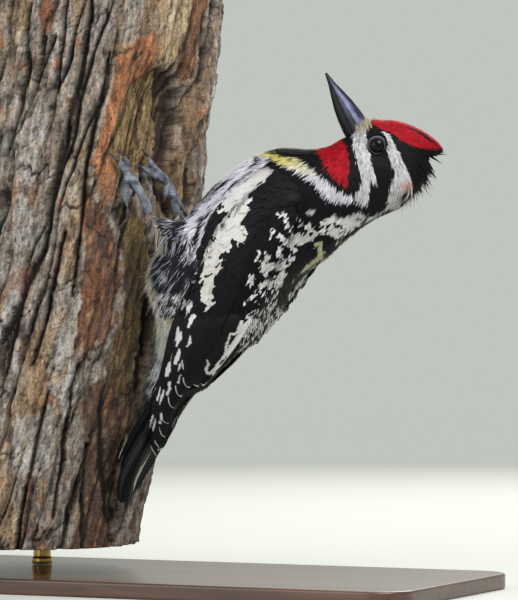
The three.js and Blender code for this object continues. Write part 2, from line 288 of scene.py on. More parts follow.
def joined_mesh(name, points, triangles, colours, uv, normals):
    """One mesh of many small closed shapes. Points come in bird millimetres."""
    mesh = bpy.data.meshes.new(name)
    mesh.vertices.add(len(points))
    mesh.vertices.foreach_set("co", ((points + BIRD) * MM).astype(np.float32).ravel())
    mesh.loops.add(triangles.size)
    mesh.loops.foreach_set("vertex_index", triangles.astype(np.int32).ravel())
    mesh.polygons.add(len(triangles))
    mesh.polygons.foreach_set("loop_start", np.arange(0, triangles.size, 3, dtype=np.int32))
    mesh.update(calc_edges=True)
    mesh.shade_smooth()
    store_colours(mesh, colours)
    store_bake_map(mesh, uv[triangles.ravel()])
    mesh.normals_split_custom_set_from_vertices(normals.astype(np.float32))
    return new_object(name, mesh)


def read_rows(items, key):
    """A row of three numbers for each of a mesh's items."""
    flat = np.empty(len(items) * 3, np.float32)
    items.foreach_get(key, flat)
    return flat.reshape(-1, 3).astype(float)


def mesh_points(mesh):
    """A mesh's corner points in bird millimetres."""
    return read_rows(mesh.vertices, "co") / MM - BIRD


def mesh_normals(mesh):
    return read_rows(mesh.vertex_normals, "vector")


def set_mesh_points(mesh, points):
    mesh.vertices.foreach_set("co", ((points + BIRD) * MM).astype(np.float32).ravel())
    mesh.update()


def cad_tree(*names):
    """A search tree over CAD nodes, in bird millimetres."""
    points, faces = [], []
    for name in names:
        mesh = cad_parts[name].data
        start = len(points)
        points += [Vector(row) for row in mesh_points(mesh)]
        faces += [[start + corner for corner in face.vertices] for face in mesh.polygons]
    return BVHTree.FromPolygons(points, faces)


# %% Lines, outlines and tables
def near_segments(points, line):
    """Distance of points of a plane to a polyline, and where along it they are nearest."""
    line = np.array(line, float)
    best = np.full(len(points), 1e9)
    where = np.zeros(len(points))
    for index, (start, end) in enumerate(zip(line[:-1, :2], line[1:, :2])):
        way = end - start
        share = np.clip(((points - start) @ way) / (way @ way), 0, 1)
        away = np.linalg.norm(points - start - share[:, None] * way, axis=1)
        closer = away < best
        best = np.where(closer, away, best)
        where = np.where(closer, index + share, where)
    return best, where


def inside(points, corners):
    """True for points of a plane inside a closed outline."""
    corners = np.array(corners, float)
    result = np.zeros(len(points), bool)
    for start, end in zip(corners, np.roll(corners, -1, axis=0)):
        spans = (start[1] > points[:, 1]) != (end[1] > points[:, 1])
        rise = end[1] - start[1]
        crossing = start[0] + (points[:, 1] - start[1]) * (end[0] - start[0]) / (rise if rise else 1e-9)
        result ^= spans & (points[:, 0] < crossing)
    return result


def look_up(table, row, column):
    """Values between the entries of a table, at rows and columns that need not be whole."""
    top = np.clip(row.astype(int), 0, len(table) - 2)
    left = np.clip(column.astype(int), 0, table.shape[1] - 2)
    right, down = column - left, row - top
    upper = table[top, left] * (1 - right) + table[top, left + 1] * right
    lower = table[top + 1, left] * (1 - right) + table[top + 1, left + 1] * right
    return upper * (1 - down) + lower * down


# %% Nodes of materials
def add_node(material, kind, output, **settings):
    """Adds a node, sets or links its inputs, and gives back one of its outputs."""
    node = material.node_tree.nodes.new("ShaderNode" + kind)
    set_inputs(node, **settings)
    return node.outputs[output]


def add_tint(material):
    """The colour stored on the mesh."""
    node = material.node_tree.nodes.new("ShaderNodeVertexColor")
    node.layer_name = "Tint"
    return node.outputs["Color"]


def add_product(material, first, second):
    """Two colours multiplied."""
    node = material.node_tree.nodes.new("ShaderNodeMix")
    node.data_type, node.blend_type = "RGBA", "MULTIPLY"
    set_inputs(node, Factor=1, A=first, B=second)
    return node.outputs["Result"]


def add_ramp(material, share, low_tone, high_tone, low=0.0, high=1.0):
    """Blends from one tone to another."""
    node = material.node_tree.nodes.new("ShaderNodeValToRGB")
    for element, tone, place in zip(node.color_ramp.elements, (low_tone, high_tone), (low, high)):
        element.position, element.color = place, (*linear(tone), 1)
    set_inputs(node, Fac=share)
    return node.outputs["Color"]


# %% [markdown]
# ## The trunk
#
# Bark is a relief over the CAD trunk. Old bark splits into long plates with deep fissures between
# them, and each plate flakes off in thin layers. Where bark has torn away, the bare inner bark
# shows, rusty or olive and streaked. Painting and denting share one function, so a fissure is both
# deep and darkened with painted shade. The trunk is unrolled for this: every point has an angle
# round the trunk, in degrees, and a height, and the CAD surface says how far out it is.

# %% Patches and fissures of the unrolled trunk
BARK_TONES = {
    "plate": linear((146, 138, 130)),
    "lichen": linear((190, 188, 186)),
    "tan": linear((150, 124, 92)),
    "brown": linear((108, 82, 64)),
    "umber": linear((62, 47, 41)),
    # crack: the near-black tone of painted shade in fissures, breaks and the deepest patches
    "crack": linear((26, 21, 20)),
    "rust": linear((146, 94, 64)),
    "orange": linear((176, 116, 80)),
    "olive": linear((122, 102, 60)),
    "straw": linear((206, 188, 148)),
}
# Each patch: its outline in degrees and millimetres, two tones, its depth, and how torn its edge is.
PATCHES = [
    ([(-47, 77), (-12, 84), (-13, 62), (-16, 47), (-12, 28), (-2, 6), (-40, 6), (-38, 28), (-41, 50)],
     "brown", "umber", 1.6, 4.0),
    ([(-64, 145), (-55, 149), (-47, 144), (-41, 135), (-35, 124), (-35, 110), (-36, 99), (-42, 94),
      (-46, 90), (-49, 82), (-53, 90), (-56, 99), (-58, 110), (-57, 118), (-58, 128), (-63, 137)],
     "rust", "umber", 2.0, 3.0),
    ([(-45, 148), (-32, 147), (-18, 133), (-9, 122), (-9, 110), (-14, 99), (-16, 86), (-24, 74),
      (-36, 72), (-36, 90), (-33, 102), (-32, 115), (-38, 133)], "olive", "umber", 1.7, 2.5),
    ([(-60, 170), (-53, 169), (-48, 160), (-45, 153), (-44, 144), (-53, 147), (-59, 156), (-62, 162)],
     "orange", "brown", 1.4, 2.5),
    ([(-57, 204), (-52, 207), (-45, 210), (-35, 212), (-30, 205), (-33, 196), (-41, 194), (-46, 190),
      (-50, 184), (-52, 178), (-53, 174), (-55, 168), (-59, 166), (-62, 169), (-60, 176), (-58, 186),
      (-57, 195)], "orange", "rust", 1.9, 1.4),
    ([(-48, 192), (-38, 196), (-30, 199), (-17, 190), (-10, 178), (-10, 168), (-15, 160), (-36, 158),
      (-49, 162), (-55, 167), (-53, 174), (-51, 180), (-50, 186)], "olive", "tan", 4.2, 0.8),
    # Painted shade: this deepest patch is painted from umber to near black.
    ([(-30, 199), (-10, 198), (2, 190), (3, 178), (3, 167), (2, 157), (-2, 148), (-14, 150), (-15, 160),
      (-10, 169), (-11, 178), (-19, 189)], "umber", "crack", 5.4, 1.0),
    ([(-36, 222), (-32, 230), (-11, 230), (-7, 218), (-12, 211), (-15, 205), (-9, 196), (-19, 201),
      (-22, 195), (-27, 201), (-31, 196), (-31, 208), (-29, 214)], "straw", "tan", 0.9, 1.6),
    ([(-10, 230), (4, 230), (7, 214), (4, 205), (3, 196), (-3, 194), (-11, 200), (-12, 211)],
     "rust", "brown", 1.5, 2.0),
    ([(2, 197), (7, 204), (14, 190), (13, 176), (12, 160), (11, 144), (4, 148), (4, 162), (4, 171),
      (3, 189)], "tan", "brown", 0.6, 2.0),
    # Painted shade: this deep groove is painted from near black to umber.
    ([(-14, 113), (-2, 112), (-3, 102), (-7, 88), (-8, 70), (-17, 76), (-15, 92)],
     "crack", "umber", 5.0, 1.2),
    ([(-74, 79), (-72, 86), (-64, 85), (-60, 78), (-60, 71), (-66, 69), (-72, 72)],
     "tan", "rust", 0.5, 1.5),
    ([(-86, 97), (-79, 98), (-76, 92), (-78, 86), (-84, 88)], "tan", "brown", 0.7, 1.5),
    ([(-97, 178), (-93, 187), (-88, 186), (-86, 170), (-88, 160), (-95, 165)],
     "lichen", "plate", 0.5, 2.5),
    ([(-102, 148), (-95, 152), (-87, 142), (-86, 128), (-96, 130)], "lichen", "plate", 0.6, 2.5),
    ([(-72, 112), (-63, 118), (-57, 110), (-54, 88), (-50, 73), (-58, 66), (-66, 78), (-65, 96)],
     "lichen", "plate", 0.5, 3.5),
    ([(-83, 66), (-68, 68), (-57, 62), (-57, 47), (-66, 36), (-78, 43)], "lichen", "plate", 0.5, 3.0),
    ([(-102, 222), (-96, 228), (-92, 212), (-97, 208)], "rust", "brown", 1.3, 1.5),
    ([(-81, 187), (-76, 189), (-73, 178), (-77, 175)], "rust", "brown", 1.2, 1.5),
    ([(-72, 45), (-67, 46), (-65, 34), (-68, 30)], "orange", "brown", 1.3, 1.0),
]
# Each fissure, from the top down: angle in degrees, height and half width in millimetres.
FISSURES = [
    [(-108, 222, 0.9), (-104, 196, 1.5), (-106, 182, 1.3), (-110, 166, 0.8)],
    [(-93, 210, 0.7), (-96, 195, 1.2), (-99, 184, 0.6)],
    [(-75, 224, 0.6), (-75, 196, 1.2), (-77, 179, 1.5), (-78, 163, 1.4), (-79, 148, 1.5), (-79, 137, 1.2),
     (-80, 129, 1.3), (-86, 116, 1.7), (-89, 102, 1.6), (-91, 82, 0.9)],
    [(-70, 136, 0.5), (-71, 122, 1.1), (-72, 107, 1), (-77, 86, 0.5)],
    [(-61, 204, 0.4), (-63, 182, 0.9), (-64, 167, 1), (-63, 148, 0.8), (-62, 133, 0.6), (-61, 112, 0.4)],
    [(-52, 86, 0.5), (-54, 77, 0.9), (-53, 62, 1.1), (-52, 43, 0.9), (-52, 28, 0.5)],
    [(-35, 78, 0.4), (-34, 66, 1.1), (-28, 48, 1.4), (-19, 32, 1.2), (-9, 18, 0.8)],
    [(-84, 124, 0.5), (-88, 110, 1), (-94, 94, 0.6)],
    [(-17, 56, 0.6), (-16, 34, 1.3), (-8, 18, 1.2)],
    [(-65, 76, 0.5), (-68, 54, 0.9), (-70, 36, 1.1), (-70, 14, 0.8)],
    [(-40, 56, 0.4), (-37, 36, 0.9), (-31, 14, 0.8)],
    [(4, 220, 0.9), (7, 204, 1.2), (8, 194, 0.5)],
    [(-18, 165, 0.8), (-24, 152, 1.2), (-19, 137, 0.9), (-7, 124, 0.5)],
    [(-88, 226, 0.6), (-88, 208, 0.8), (-86, 188, 0.4)],
    [(2, 150, 0.5), (6, 132, 1.1), (8, 110, 1.3), (9, 84, 0.8)],
]
UNROLLED = 0.86  # millimetres round the trunk for each degree
FISSURE_PITCH, BREAK_PITCH = 11.0, 30.0  # how far apart the other fissures and cross breaks lie


# %% Fissures and layers
def lines_at(place, pitch, seed):
    """Winding lines about one pitch apart: the distance to the nearest, its number, and the plate's."""
    cell = np.floor(place / pitch)
    away = np.full(len(place), 1e9)
    line = np.zeros(len(place))
    plate = cell.copy()
    for step in (-1, 0, 1):
        number = cell + step
        keys = np.stack([number, number * 0, number * 0], 1).astype(np.int64)
        spot = (number + 0.7 * (hash_noise(keys, seed) - 0.5)) * pitch
        gap = np.abs(place - spot)
        line = np.where(gap < away, number, line)
        away = np.minimum(away, gap)
        plate = np.where((step == 0) & (place < spot), cell - 1, plate)
        plate = np.where((step == 1) & (place > spot), cell + 1, plate)
    return away, line, plate


def flat_points(across, up):
    return np.stack([across, up, np.zeros(len(across))], 1)


# %% The relief and the colour of bark
def bark(turn, z):
    """The depth below the outline in millimetres and the colour, at angles in degrees and heights."""
    across = turn * UNROLLED
    leaning = across - 0.16 * (z - 110)
    wander = rough_noise(flat_points(leaning, z * 0.30), 15, 3, 5)
    ragged = rough_noise(flat_points(leaning, z * 0.45), 4.5, 3, 9)
    grain = rough_noise(flat_points(leaning + 2 * wander, z * 0.13), 1.7, 3, 21)
    speck = rough_noise(flat_points(across, z * 0.7), 1.5, 2, 31)
    cloud = rough_noise(flat_points(across, z * 0.4), 11, 3, 35)

    from_fissure, line, plate = lines_at(leaning + 8 * wander + 1.6 * ragged, FISSURE_PITCH, 41)
    strength = noise(flat_points(line * 37.0, z), 34, 43)
    fissure = np.clip(1.5 * strength - 0.25, 0, 1) * np.exp(-((from_fissure / (0.35 + 0.9 * strength)) ** 2))
    drawn_away, drawn_half = np.full(len(z), 1e9), np.ones(len(z))
    flat = np.stack([across + 0.9 * ragged + 0.3 * speck, z], 1)
    for crack in FISSURES:
        rows = np.array([(angle * UNROLLED, height, half) for angle, height, half in crack])
        away, where = near_segments(flat, rows)
        half = np.interp(where, np.arange(len(rows)), rows[:, 2]) + 0.05
        nearer = away / half < drawn_away / drawn_half
        drawn_away = np.where(nearer, away, drawn_away)
        drawn_half = np.where(nearer, half, drawn_half)
    fissure = np.maximum(fissure, np.exp(-((drawn_away / (drawn_half * 1.05)) ** 2)))
    from_break, row, _ = lines_at(z + 7 * ragged + 23 * np.sin(plate * 2.4), BREAK_PITCH, 47)
    broken = noise(flat_points(row * 31.0, plate * 17.0), 1, 49)
    cross_break = np.clip(2 * broken - 0.6, 0, 1) * np.exp(-((from_break / 0.8) ** 2))

    level = 3.4 * rough_noise(flat_points(leaning + 3 * wander, z * 0.42), 5.5, 4, 51) + 2.4
    layer = np.floor(level)
    layer_edge = level - layer
    layers = np.clip(layer + smooth_step(layer_edge, 0, 0.2), 0, 5)
    shoulder = 1 - np.clip(np.minimum(from_fissure, 1.4 * drawn_away) / 2.4, 0, 1) ** 0.5
    depth = 0.2 + 0.58 * layers + 1.5 * shoulder + 3.4 * fissure + 1.2 * cross_break
    depth = depth + 0.40 * grain + 0.30 * speck

    browner = np.clip(1.02 + 0.7 * cloud - 0.25 * layers, 0, 1)
    colour = blend(BARK_TONES["plate"], BARK_TONES["brown"], browner)
    colour = blend(colour, BARK_TONES["lichen"], np.clip(0.9 - 0.45 * layers + 0.7 * cloud, 0, 1) * 0.9)
    tan = smooth_step(np.sin(plate * 5.1 + 1) + cloud, 0.5, 1.2) * 0.6
    colour = blend(colour, BARK_TONES["tan"], tan)

    edges = np.stack([ragged + 0.5 * speck, 1.8 * rough_noise(flat_points(across, z), 3.5, 2, 55)], 1)
    for outline, tone, second, sink, torn in PATCHES:
        corners = [(angle * UNROLLED, height) for angle, height in outline]
        place = np.stack([across, z], 1) + torn * edges
        within = inside(place, corners)
        away, _ = near_segments(place, corners + corners[:1])
        share = within * smooth_step(away, 0, 0.9)
        streaks = np.clip(0.5 + 0.9 * grain + 0.5 * ragged + 0.4 * speck, 0, 1)
        floor_depth = sink + 0.45 * grain + 0.45 * ragged + 0.25 * speck
        if sink > 1:
            floor_depth = floor_depth + 1.6 * fissure
        raised = depth - 0.5 * share * (depth - sink)
        depth = np.where(sink > 1, depth * (1 - share) + share * floor_depth, raised)
        patch_tone = blend(BARK_TONES[tone], BARK_TONES[second], streaks)
        colour = blend(colour, patch_tone, share * (0.92 if sink > 1 else 0.7))

    mottle = rough_noise(flat_points(across, z * 0.55), 3.2, 3, 65)
    colour = blend(colour, BARK_TONES["umber"], np.clip(2.6 * mottle - 0.7, 0, 0.7))
    colour = blend(colour, BARK_TONES["tan"], np.clip(-2.4 * mottle - 0.8, 0, 0.55))
    fleck = smooth_step(noise(flat_points(leaning, z * 0.3), 2.6, 67), 0.80, 0.92)
    colour = blend(colour, BARK_TONES["rust"], 0.6 * fleck)
    colour = colour * np.clip(1 + 0.42 * grain + 0.42 * speck, 0.2, 2)[:, None]
    # Painted shade: the fissures, the cross breaks, the fine hair cracks, the slopes beside the fissures and
    # the lip of each flaking layer are darkened towards the crack tone, as shadow falls there.
    lip = np.exp(-(((layer_edge - 0.12) / 0.10) ** 2)) * (layer > 0)
    hair = np.exp(-((rough_noise(flat_points(leaning, z * 0.16), 2.6, 2, 61) / 0.05) ** 2))
    shade = np.clip(1.1 * fissure + 0.75 * cross_break + 0.55 * lip + 0.45 * hair + 0.3 * shoulder, 0, 0.95)
    colour = blend(colour, BARK_TONES["crack"], shade)
    return np.maximum(depth, 0.05), np.clip(colour, 0.003, 1)


# %% [markdown]
# The relief needs a fine, even mesh. A grid is made flat with one bmesh operator, wrapped round
# the trunk, and closed by two rows that run in towards the trunk's axis. The sectors that face the
# viewer get a finer grid than the one behind, so that all stay light enough.

# %% Wrap the bark round the trunk
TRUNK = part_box("perch")
trunk_low, trunk_high = TRUNK[0].z / MM, TRUNK[1].z / MM
trunk_points = mesh_points(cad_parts["perch"].data)
trunk_foot = trunk_points[trunk_points[:, 2] < trunk_low + 0.5].mean(0)
trunk_head = trunk_points[trunk_points[:, 2] > trunk_high - 0.5].mean(0)
trunk_tree = cad_tree("perch")
FACING = math.degrees(VIEW_TURN) - 90  # the angle of the trunk's side that faces the viewer
TRUNK_RADIUS = 49.0
CAST_FROM = 120.0  # outside the trunk
LID_ROWS = 2  # rows at each end of the grid that close the trunk


def trunk_surface(turn, z):
    """Points of the CAD trunk at angles in degrees and heights, and the way inwards at each."""
    share = (z - trunk_low) / (trunk_high - trunk_low)
    axis = trunk_foot + (trunk_head - trunk_foot) * share[:, None]
    axis[:, 2] = z
    radians = np.radians(turn)
    outward = np.stack([np.cos(radians), np.sin(radians), np.zeros(len(z))], 1)
    points = np.empty((len(z), 3))
    for index, (start, way) in enumerate(zip(axis, outward)):
        hit = trunk_tree.ray_cast(Vector(start + way * CAST_FROM), Vector(-way))[0]
        points[index] = hit if hit is not None else start + way * TRUNK_RADIUS
    return points, -outward, axis


def bark_piece(name, start, sweep, step):
    """A sector of the bark as one grid, with its ends folded in over the cut trunk."""
    columns = int(math.radians(sweep) * TRUNK_RADIUS / step)
    rows = int((trunk_high - trunk_low) / step)
    shape = bmesh.new()
    bmesh.ops.create_grid(shape, x_segments=columns, y_segments=rows + 2 * LID_ROWS, size=0.5)
    mesh = mesh_from(shape, name)
    place = read_rows(mesh.vertices, "co") + 0.5
    turn = start + sweep * place[:, 0]
    row = np.rint(place[:, 1] * (rows + 2 * LID_ROWS)).astype(int)
    z = trunk_low + (trunk_high - trunk_low) * np.clip((row - LID_ROWS) / rows, 0, 1)
    surface, inwards, axis = trunk_surface(turn, np.clip(z, trunk_low + 0.3, trunk_high - 0.3))
    depth, colours = bark((turn + 180) % 360 - 180, z)
    points = surface + inwards * depth[:, None]
    points[:, 2] = z
    lid = np.minimum(row, rows + 2 * LID_ROWS - row)  # 0 at the middle of a cut end, 1 at its rim
    to_axis = np.where(lid == 0, 1.0, np.where(lid == 1, 0.1, 0.0))[:, None]
    points = points * (1 - to_axis) + np.concatenate([axis[:, :2], z[:, None]], 1) * to_axis
    set_mesh_points(mesh, points)
    store_colours(mesh, np.where((lid < LID_ROWS)[:, None], linear((186, 150, 104)), colours))
    mesh.shade_smooth()
    return new_object(name, mesh)


# %% The finish of bark
def bark_material():
    """The stored tint, broken up by fibres along the trunk and by fine grain, which also give bumps."""
    material = paint("bark", 0.88, Specular_IOR_Level=0.25)
    place = add_node(material, "TexCoord", "Object")
    stretched = add_node(material, "Mapping", "Vector", Vector=place, Scale=(1, 1, 0.2))
    colour, below = add_tint(material), {}
    for scale, vector, low, high in ((480, stretched, 0.52, 1.5), (1300, place, 0.55, 1.45)):
        grain = add_node(material, "TexNoise", "Fac", Vector=vector, Scale=scale, Detail=5, Roughness=0.65)
        span = {"From_Min": 0.3, "From_Max": 0.7, "To_Min": low, "To_Max": high}
        colour = add_product(material, colour, add_node(material, "MapRange", "Result", Value=grain, **span))
        bump = add_node(material, "Bump", "Normal", Strength=1.0, Distance=0.6 / scale, Height=grain, **below)
        below = {"Normal": bump}
    set_shader(material, Base_Color=colour, Normal=bump)
    return material


BARK = bark_material()
FRONT_SWEEP = 100  # degrees of each of the two fine sectors
bark_step = 0.56
BARK_SECTORS = [
    ("bark_near", FACING - FRONT_SWEEP, FRONT_SWEEP, bark_step),
    ("bark_far", FACING, FRONT_SWEEP, bark_step),
    ("bark_back", FACING + FRONT_SWEEP, 360 - 2 * FRONT_SWEEP, bark_step * 1.8),
]
for name, start, sweep, step in BARK_SECTORS:
    sector = bark_piece(name, start, sweep, step)
    finish_piece(sector, BARK, ["perch"])
    print(name, len(sector.data.polygons), "quads")

# %% [markdown]
# ## One skin
#
# The CAD parts the bird where a person would name its parts. The skin has no such cuts: copies of
# the parts are swollen until they run into each other, remeshed into one closed surface, smoothed,
# and then drawn in by the depth of the coat, so that feathers laid on it end at the CAD outline.

# %% Weld the flesh nodes into one skin
FLESH = ["head", "crest", "neck", "body", "tail"]
FLESH += [f"{part}_{side}" for part in ("thigh", "wing") for side in ("left", "right")]
SWELL = 0.35
SKIN_VOXEL = 0.8


def weld(names, swell, voxel, smoothing):
    """Copies CAD nodes, swells them by some millimetres, and remeshes them into one closed mesh."""
    shape = bmesh.new()
    for name in names:
        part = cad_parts[name].data.copy()
        single = bmesh.new()
        single.from_mesh(part)
        bmesh.ops.remove_doubles(single, verts=single.verts, dist=1e-6)
        single.normal_update()
        for vertex in single.verts:
            vertex.co += vertex.normal * swell * MM
        single.to_mesh(part)
        single.free()
        shape.from_mesh(part)
        bpy.data.meshes.remove(part)
    mesh = mesh_from(shape, "weld")
    piece = new_object("weld", mesh)
    remesh = piece.modifiers.new("remesh", "REMESH")
    remesh.mode = "VOXEL"
    remesh.voxel_size = voxel * MM
    smooth = piece.modifiers.new("smooth", "SMOOTH")
    smooth.factor = 0.5
    smooth.iterations = smoothing
    result = bpy.data.meshes.new_from_object(piece.evaluated_get(bpy.context.evaluated_depsgraph_get()))
    bpy.data.objects.remove(piece)
    bpy.data.meshes.remove(mesh)
    return result


def soften(rows, times):
    """Evens out a table of numbers from row to row."""
    for _ in range(times):
        padded = np.concatenate([rows[:1], rows, rows[-1:]])
        rows = 0.25 * padded[:-2] + 0.5 * padded[1:-1] + 0.25 * padded[2:]
    return rows


# %% Draw the skin in under the coat
def head_share(points):
    """0 on the body, rising to 1 on the head, for points of the unturned bird."""
    return smooth_step(points @ NECK_RISE, 138, 152)


def drawn_in(z):
    """How far the lower back is moved in, on top of the coat's depth, by height."""
    return np.interp(z, [60, 82, 97, 105, 113, 120, 124, 127], [2.4, 2.7, 3.0, 3.9, 4.2, 3.0, 1.3, 0])


def far_drawn_in(z):
    """The same for the rear edge of the right wing, which is folded closer."""
    return drawn_in(z) * np.interp(z, [97, 104, 112, 120], [1.7, 1.9, 1.7, 1.4])


# The tail's line in the side plane. The thin wing tips are pressed flat onto it, under the feathers.
TAIL_ROOT = np.array([-29.5, 80.0])
TAIL_TIP = np.array([-57.6, 31.2])
tail_length = np.linalg.norm(TAIL_TIP - TAIL_ROOT)
tail_way = (TAIL_TIP - TAIL_ROOT) / tail_length
tail_up = np.array([-tail_way[1], tail_way[0]])

skin_mesh = weld(FLESH, SWELL, SKIN_VOXEL, 6)
skin_points = mesh_points(skin_mesh)
plain_points = unturned(skin_points)
BODY_COAT, HEAD_COAT, TAIL_COAT = 1.9, 1.0, 1.0
TAIL_TOP = 78.0  # the tail lies below this height
coat_depth = BODY_COAT + (HEAD_COAT - BODY_COAT) * head_share(plain_points)
coat_depth = np.where(plain_points[:, 2] < TAIL_TOP, TAIL_COAT, coat_depth) + SWELL
skin_normals = mesh_normals(skin_mesh)
skin_points -= skin_normals * coat_depth[:, None]
heights = skin_points[:, 2]
facing_back = smooth_step(skin_normals[:, 0], -0.1, 0.5) * smooth_step(heights, 72, 86)
beside_near_wing = drawn_in(heights) * smooth_step(skin_points[:, 1], -8, 2)
far_wing = (far_drawn_in(heights) - drawn_in(heights)) * smooth_step(skin_points[:, 1], 2, 8)
skin_points[:, 0] -= facing_back * (beside_near_wing + far_wing)

# %% Bridge the groove between the back and each wing
# The shoulder feathers lie over this groove, so the skin is filled up to the line that a thread
# would take if it were pulled tight across both wings at each height.
THREAD_STEP = 2.0
THREAD_Z = np.arange(88.0, 134.0, THREAD_STEP)
THREAD_Y = np.arange(-16.0, 16.5, 1.0)
DEEPEST_GROOVE = 18.0  # a gap deeper than this stays open
RELAXING_PASSES = 8
threads = []
for height in THREAD_Z:
    near = np.abs(heights - height) < 1.3
    tops = []
    for y in THREAD_Y:
        column = near & (np.abs(skin_points[:, 1] - y) < 0.8)
        tops.append(skin_points[column, 0].max() if column.any() else -60.0)
    kept = []
    for place in zip(THREAD_Y, tops):
        while len(kept) > 1:
            (y0, x0), (y1, x1) = kept[-2:]
            if (x1 - x0) * (place[0] - y0) > (place[1] - x0) * (y1 - y0):
                break
            kept.pop()
        kept.append(place)
    threads.append(np.interp(THREAD_Y, *np.array(kept).T))
threads = soften(np.array(threads), 2)
level = np.clip((heights - THREAD_Z[0]) / THREAD_STEP, 0, len(THREAD_Z) - 1.001)
across_y = np.clip(skin_points[:, 1] - THREAD_Y[0], 0, len(THREAD_Y) - 1.001)
lacking = look_up(threads, level, across_y) - skin_points[:, 0]
wing_crest = np.interp(heights, [90, 96, 100, 104, 110], [7, 10, 12, 14, 16])
filled = smooth_step(heights, 88, 95) * smooth_step(-heights, -133, -127)
filled *= smooth_step(wing_crest - np.abs(skin_points[:, 1]), -0.5, 1.0)
filled *= smooth_step(DEEPEST_GROOVE - lacking, 0, 4)
skin_points[:, 0] += 0.9 * filled * np.clip(lacking, 0, None)
edges = np.empty(len(skin_mesh.edges) * 2, np.int32)
skin_mesh.edges.foreach_get("vertices", edges)
edges = edges.reshape(-1, 2)
neighbours = np.bincount(edges.ravel(), minlength=len(skin_points))
for _ in range(RELAXING_PASSES):
    total = np.zeros_like(skin_points)
    np.add.at(total, edges[:, 0], skin_points[edges[:, 1]])
    np.add.at(total, edges[:, 1], skin_points[edges[:, 0]])
    skin_points += (0.6 * filled)[:, None] * (total / neighbours[:, None] - skin_points)
print("groove filled by up to", round(float((filled * lacking).max()), 1), "mm")

# %% Press the wing tips onto the tail
above_tail = (skin_points[:, [0, 2]] - TAIL_ROOT) @ tail_up + 0.8
flatten = np.clip(above_tail, 0, None) * smooth_step(-heights, -80, -70)
skin_points[:, [0, 2]] -= flatten[:, None] * tail_up
set_mesh_points(skin_mesh, skin_points)
print("skin", len(skin_mesh.vertices), "points")

# %% [markdown]
# ## Markings
#
# A bird's pattern belongs to its feathers, so skin, coat and long feathers ask one function for
# their colour. The pattern is drawn on a three-quarter elevation of the unturned bird, from its
# left and a little behind, because flank and back both show there; the right side mirrors it.
# Outlines and brush strokes are painted one over another. A stroke is a line of places with a
# half width at each. Noise frays the edges and breaks up the mottled parts.

# %% Outlines of the pattern, in millimetres across and up the three-quarter elevation
BLACK = linear((13, 13, 17))
SOOT = linear((30, 31, 36))
GREY = linear((96, 96, 106))
WHITE = linear((218, 217, 218))
COOL = linear((188, 187, 203))
SHADE = linear((158, 158, 158))
CREAM = linear((206, 198, 162))
YELLOW = linear((222, 208, 112))
STRAW = linear((170, 168, 128))
RED = linear((186, 16, 34))
DEEP_RED = linear((138, 8, 26))
ORANGE = linear((196, 112, 66))
BUFF = linear((176, 160, 128))

CROWN = [
    (41, 182), (41.2, 175.2), (43.5, 174.1), (46.5, 172.4), (49, 171.9), (51, 170.5), (53.2, 168.6),
    (56.2, 167.3), (60.4, 166.5), (64.1, 166.2), (68, 165.8), (75, 167), (70, 182), (50, 184),
]
CROWN_SLIT = [
    (54.8, 173.6, 0.2), (57.8, 172.9, 0.35), (60.6, 171.7, 0.5), (63.4, 170.1, 0.55), (66.4, 167.9, 0.45),
]
MALAR = [
    (35, 174.9), (35.5, 170.5), (35, 167.5), (35.3, 164.5), (36.1, 161.5), (36.8, 158.5), (37.3, 155.5),
    (37.1, 152.5), (35.5, 149.8), (33.4, 147.6), (32.8, 146.1), (35, 145.2), (37.1, 144.8), (38.8, 145.4),
    (39.8, 148), (40.1, 151.8), (41.2, 153.2), (43.4, 151.8), (42.8, 155.1), (41.8, 158.5), (40.9, 162.2),
    (40.5, 165.2), (40.4, 168.6), (39.8, 171.6), (40.3, 174.2), (37.9, 175.8),
]
EAR = [
    (45.4, 172.6), (47.2, 171.6), (48.5, 170.5), (50, 167.5), (52.1, 163.8), (53.8, 160), (55.3, 156.6),
    (57.1, 152.5), (56.9, 149.5), (54.8, 146.9), (51.4, 143.9), (48.4, 143.5), (46.7, 144.1), (47.6, 148),
    (48.5, 151.4), (49.5, 154.4), (50.5, 157), (49, 158.5), (48.2, 161.5), (47.2, 164.5), (47.6, 167.5),
    (46.6, 170.5),
]
THROAT = [
    (34.6, 176.5), (30, 176), (20.5, 170), (21.5, 164.8), (22.6, 161.5), (23.8, 158.3), (25.6, 155.3),
    (27.8, 153.1), (29.6, 151.6), (31, 151.8), (32.2, 153.8), (33, 156.6), (33.3, 159.4), (33.2, 163),
    (32.3, 167.5), (33.4, 170.5),
]
BREAST_LINE = [
    (-0.8, 165), (2, 164), (4, 163.2), (7.3, 162.1), (10.7, 160.8), (15.4, 158.9), (18.4, 157.1),
    (21.4, 154.4), (24.4, 152), (27.4, 149.9), (30.4, 148.3), (33.1, 147.4), (33.1, 146), (30.4, 146),
    (26.6, 145.8), (23.6, 146.4), (21.8, 148), (19.5, 151), (16.1, 154), (13.1, 156), (9.7, 158.1),
    (7.3, 159.9), (5.3, 161.2), (2.3, 162.3),
]
NECK_WHITE = [
    (57.4, 149.4), (54.6, 146.3), (51.4, 143.3), (47.6, 141), (45, 140.1), (40.9, 138), (37.9, 136.6),
    (34, 135.2), (30, 134.4), (26, 134.6), (22.9, 136.4), (21.6, 139.6), (23.6, 141), (26.6, 141.5),
    (29.6, 140.7), (32.6, 142.2), (35, 143.7), (37.9, 141.4), (40.1, 141.8), (45.4, 142.6), (47.2, 144.1),
    (51, 147),
]
